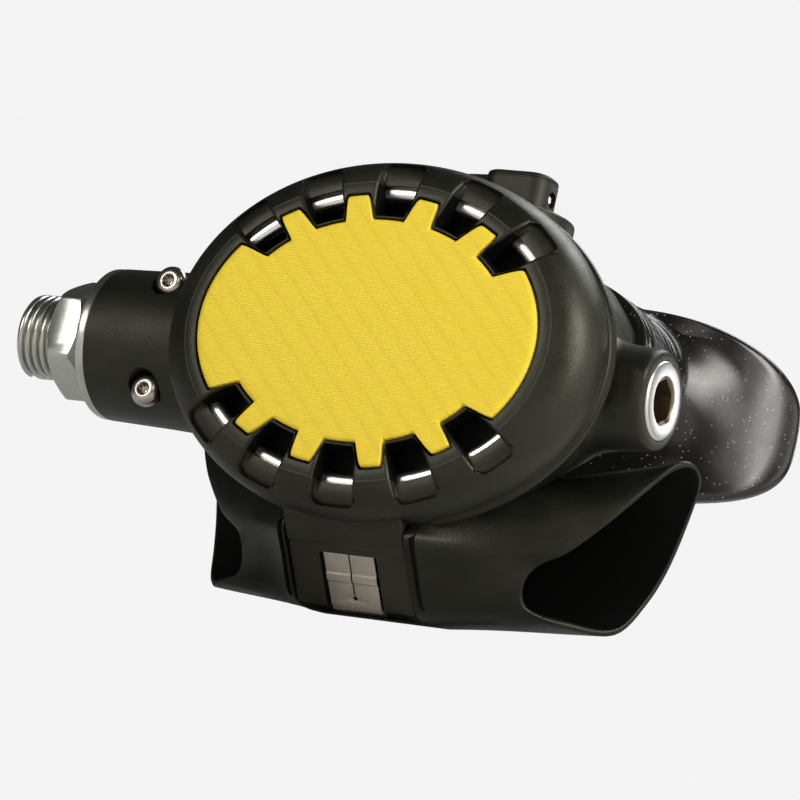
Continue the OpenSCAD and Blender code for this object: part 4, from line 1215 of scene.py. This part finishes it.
# %% Venturi lever and its pin
def block_ring(z, inset=0.0, half=5.9, y0=17.9, y1=25.7, radius=2.9, per_corner=10):
    """Rounded oblong across Z, drawn inwards by inset."""
    radius, half, y0, y1 = radius - inset * 0.6, half - inset, y0 + inset, y1 - inset
    ring = []
    for corner, (cx, cy) in enumerate(((half, y1), (-half, y1), (-half, y0), (half, y0))):
        middle = (cx - math.copysign(radius, cx), cy - radius if cy == y1 else cy + radius)
        for k in range(per_corner):
            a = math.radians(90 * corner + 90 * k / (per_corner - 1))
            ring.append((middle[0] + radius * math.cos(a) - 0.7, middle[1] + radius * math.sin(a), z))
    return ring


block = loft("block", [block_ring(z, i) for z, i in (
    (34.3, 0), (34.7, 0), (40.3, 0), (40.36, 0.12), (40.5, 0.16), (40.62, 0.12), (40.68, 0.02),
    (41.05, 0.06), (41.28, 0.2), (41.42, 0.42), (41.5, 0.8), (41.5, 1.6))], sharp=40)
PIN_Z = 37.8
cut(block, turned("hole", [(3.6, 1.4), (9, 1.4)], "x", (0, 22, PIN_Z), 48))
base = turned("base", [(32.1, 8.8), (32.1, 9.2), (32.3, 9.4), (34.1, 9.4), (34.4, 9.3), (34.6, 9.0),
                       (34.6, 8)], "z", (0, 22, 0))
arm = []
for x, half, top in ((-18.8, 0.5, 39.6), (-18.6, 1.0, 40.1), (-18, 1.5, 40.4), (-16, 1.9, 40.7),
                     (-10, 2.5, 41.0), (-5, 2.9, 41.1)):
    side = [(-half, 35.2), (-half, top - 0.7), (-half + 0.2, top - 0.2), (-half + 0.6, top),
            (half - 0.6, top), (half - 0.2, top - 0.2), (half, top - 0.7), (half, 35.2)]
    arm.append([(x, 22.8 + y, z) for y, z in side])
knob = joined("knob", block, base, loft("arm", arm, sharp=50))
knob.data.set_sharp_from_angle(angle=math.radians(40))
dress(knob, "venturi_lever_block", "venturi_control", "venturi_lever")
pin_low, pin_high = ((v.x - CASE_X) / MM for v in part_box("lever_pin"))
pin = turned("pin", [(pin_low, 0.55), (pin_low + 0.1, 0.72), (pin_low + 0.25, 0.8), (pin_high - 0.25, 0.8),
                     (pin_high - 0.1, 0.72), (pin_high, 0.55)], "x", (0, 22, PIN_Z), 48)
dress(pin, "lever_cross_pin", "venturi_control", "lever_pin")

# %% [markdown]
# ## Clip
# The clip is one strip of sheet, bent over the tongue's foot. Its outline is
# drawn from the side and made solid across, then the slit and its round end
# are cut.

# %% Clip
side = [chin(0.33, 0.1), chin(0.56, 0.1), chin(0.58, -0.12), chin(0.66, -0.12), chin(0.68, 0.1),
        chin(0.95, 0.1), chin(0.985, 0.25), (-4.0, TEE_LOW + 0.02), (-0.8, TEE_LOW + 0.1),
        (-0.8, TEE_LOW + 0.9), (-3.9, TEE_LOW + 0.9), chin(0.93, 0.9), chin(0.69, 0.9),
        chin(0.67, 0.68), chin(0.57, 0.68), chin(0.55, 0.9), chin(0.33, 0.9)]
clip = prism("clip", side, CLIP_SIDES[0], CLIP_SIDES[1])
mid = sum(CLIP_SIDES) / 2
slit = prism("slit", [chin(0.2, -1), chin(0.84, -1), chin(0.84, 2), chin(0.2, 2)], mid - 0.12, mid + 0.12)
eye = turned("eye", [(-2, 0.4), (3, 0.4)], "z", (0, 0, 0), 40)
eye_turn = Vector((0, 0, 1)).rotation_difference(Vector((0, CHIN_IN.x, CHIN_IN.y)))
eye_place = Vector((CASE_X + mid * MM, chin(0.86)[0] * MM, chin(0.86)[1] * MM))
eye.data.transform(Matrix.Translation(eye_place) @ eye_turn.to_matrix().to_4x4()
                   @ Matrix.Translation((-CASE_X, 0, 0)))
cut(clip, slit, eye)
clip = bevelled(clip, 0.16)
dress(clip, "tongue_clip", "regulator", "exhaust_clip")

# %% Inner parts keep their CAD shapes and take a finish each
for name, obj in frame["nodes"].items():
    obj.data.materials.clear()
    obj.data.materials.append(LOOK[name])
print("CAD nodes painted:", len(frame["nodes"]))

# %% [markdown]
# ## Floor and light
# The floor is pale and lets the camera look up through it, because the view
# is from slightly below. It still throws light back at the underside. Black
# plastic is drawn by its reflections, so the lamps are large and soft. The
# main ones stand on the right and in front on the left, and one is above and
# behind. The strip puts a band on the mouthpiece's curled end, and the card
# behind is what the plug's flat face reflects.

# %% Floor
low_z = cad_box[0][2]
bpy.ops.mesh.primitive_plane_add(size=3, location=(CASE_X, 0, low_z - 0.0005))
floor = bpy.context.object
floor.name = "floor"
paper = bpy.data.materials.new("pale paper")
paper.use_nodes = True
tree = paper.node_tree
surface = tree.nodes["Principled BSDF"]
surface.inputs["Base Color"].default_value = (0.82, 0.82, 0.81, 1)
surface.inputs["Roughness"].default_value = 0.8
behind = add(tree, "ShaderNodeNewGeometry")
clear = add(tree, "ShaderNodeBsdfTransparent")
see = add(tree, "ShaderNodeMixShader", {
    0: behind.outputs["Backfacing"], 1: surface, 2: clear})
tree.links.new(see.outputs[0], tree.nodes["Material Output"].inputs["Surface"])
floor.data.materials.append(paper)
floor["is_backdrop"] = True

# %% World and lamps
world = bpy.data.worlds.new("studio")
bpy.context.scene.world = world
world.use_nodes = True
tree = world.node_tree
backdrop = tree.nodes["Background"]
backdrop.inputs["Color"].default_value = (0.90, 0.90, 0.90, 1)
room = add(tree, "ShaderNodeBackground")
room.inputs["Color"].default_value = (0.52, 0.51, 0.48, 1)
room.inputs["Strength"].default_value = 0.10
ray = add(tree, "ShaderNodeLightPath")
pick = add(tree, "ShaderNodeMixShader", {
    0: ray.outputs["Is Camera Ray"], 1: room, 2: backdrop})
tree.links.new(pick.outputs[0], tree.nodes["World Output"].inputs["Surface"])


def lamp(name, place, size, watts, colour):
    """A soft square lamp that faces the object; place is in millimetres."""
    data = bpy.data.lights.new(name, "AREA")
    data.shape = "RECTANGLE"
    data.size, data.size_y = size[0] * MM, size[1] * MM
    data.energy = watts
    data.color = colour
    obj = new_object(name, data)
    obj.location = Vector(place) * MM + Vector((CASE_X, 0, 0))
    aim = Vector((CASE_X, 0, 0)) - obj.location
    obj.rotation_euler = aim.to_track_quat("-Z", "Y").to_euler()


WARM_WHITE, LAMP_WHITE, SOFT_WHITE, WHITE = (1, 0.97, 0.92), (1, 0.97, 0.93), (1, 0.98, 0.95), (1, 1, 1)
for name, place, size, watts, colour in (
        ("key", (600, -250, 350), (340, 240), 3.4, WARM_WHITE),
        ("right side", (640, 180, 120), (260, 320), 0.6, SOFT_WHITE),
        ("strip", (660, -190, 165), (100, 240), 1.3, LAMP_WHITE),
        ("card behind", (300, 640, 160), (150, 150), 0.42, WHITE),
        ("top back", (120, 420, 600), (500, 260), 2.6, WHITE),
        ("left front", (-320, -700, 190), (280, 280), 2.0, (1, 0.98, 0.94)),
        ("front", (200, -760, 260), (240, 240), 0.4, WARM_WHITE),
        ("below", (60, -420, -520), (420, 200), 0.9, LAMP_WHITE)):
    lamp(name, place, size, watts, colour)
bpy.context.scene.view_settings.view_transform = "Standard"

# %% Write the sizes down and finish
new_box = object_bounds()
for side, before, after in zip(("low", "high"), cad_box, new_box):
    print(side, [round((a - b) * 1000, 2) for a, b in zip(after, before)], "mm against the CAD")
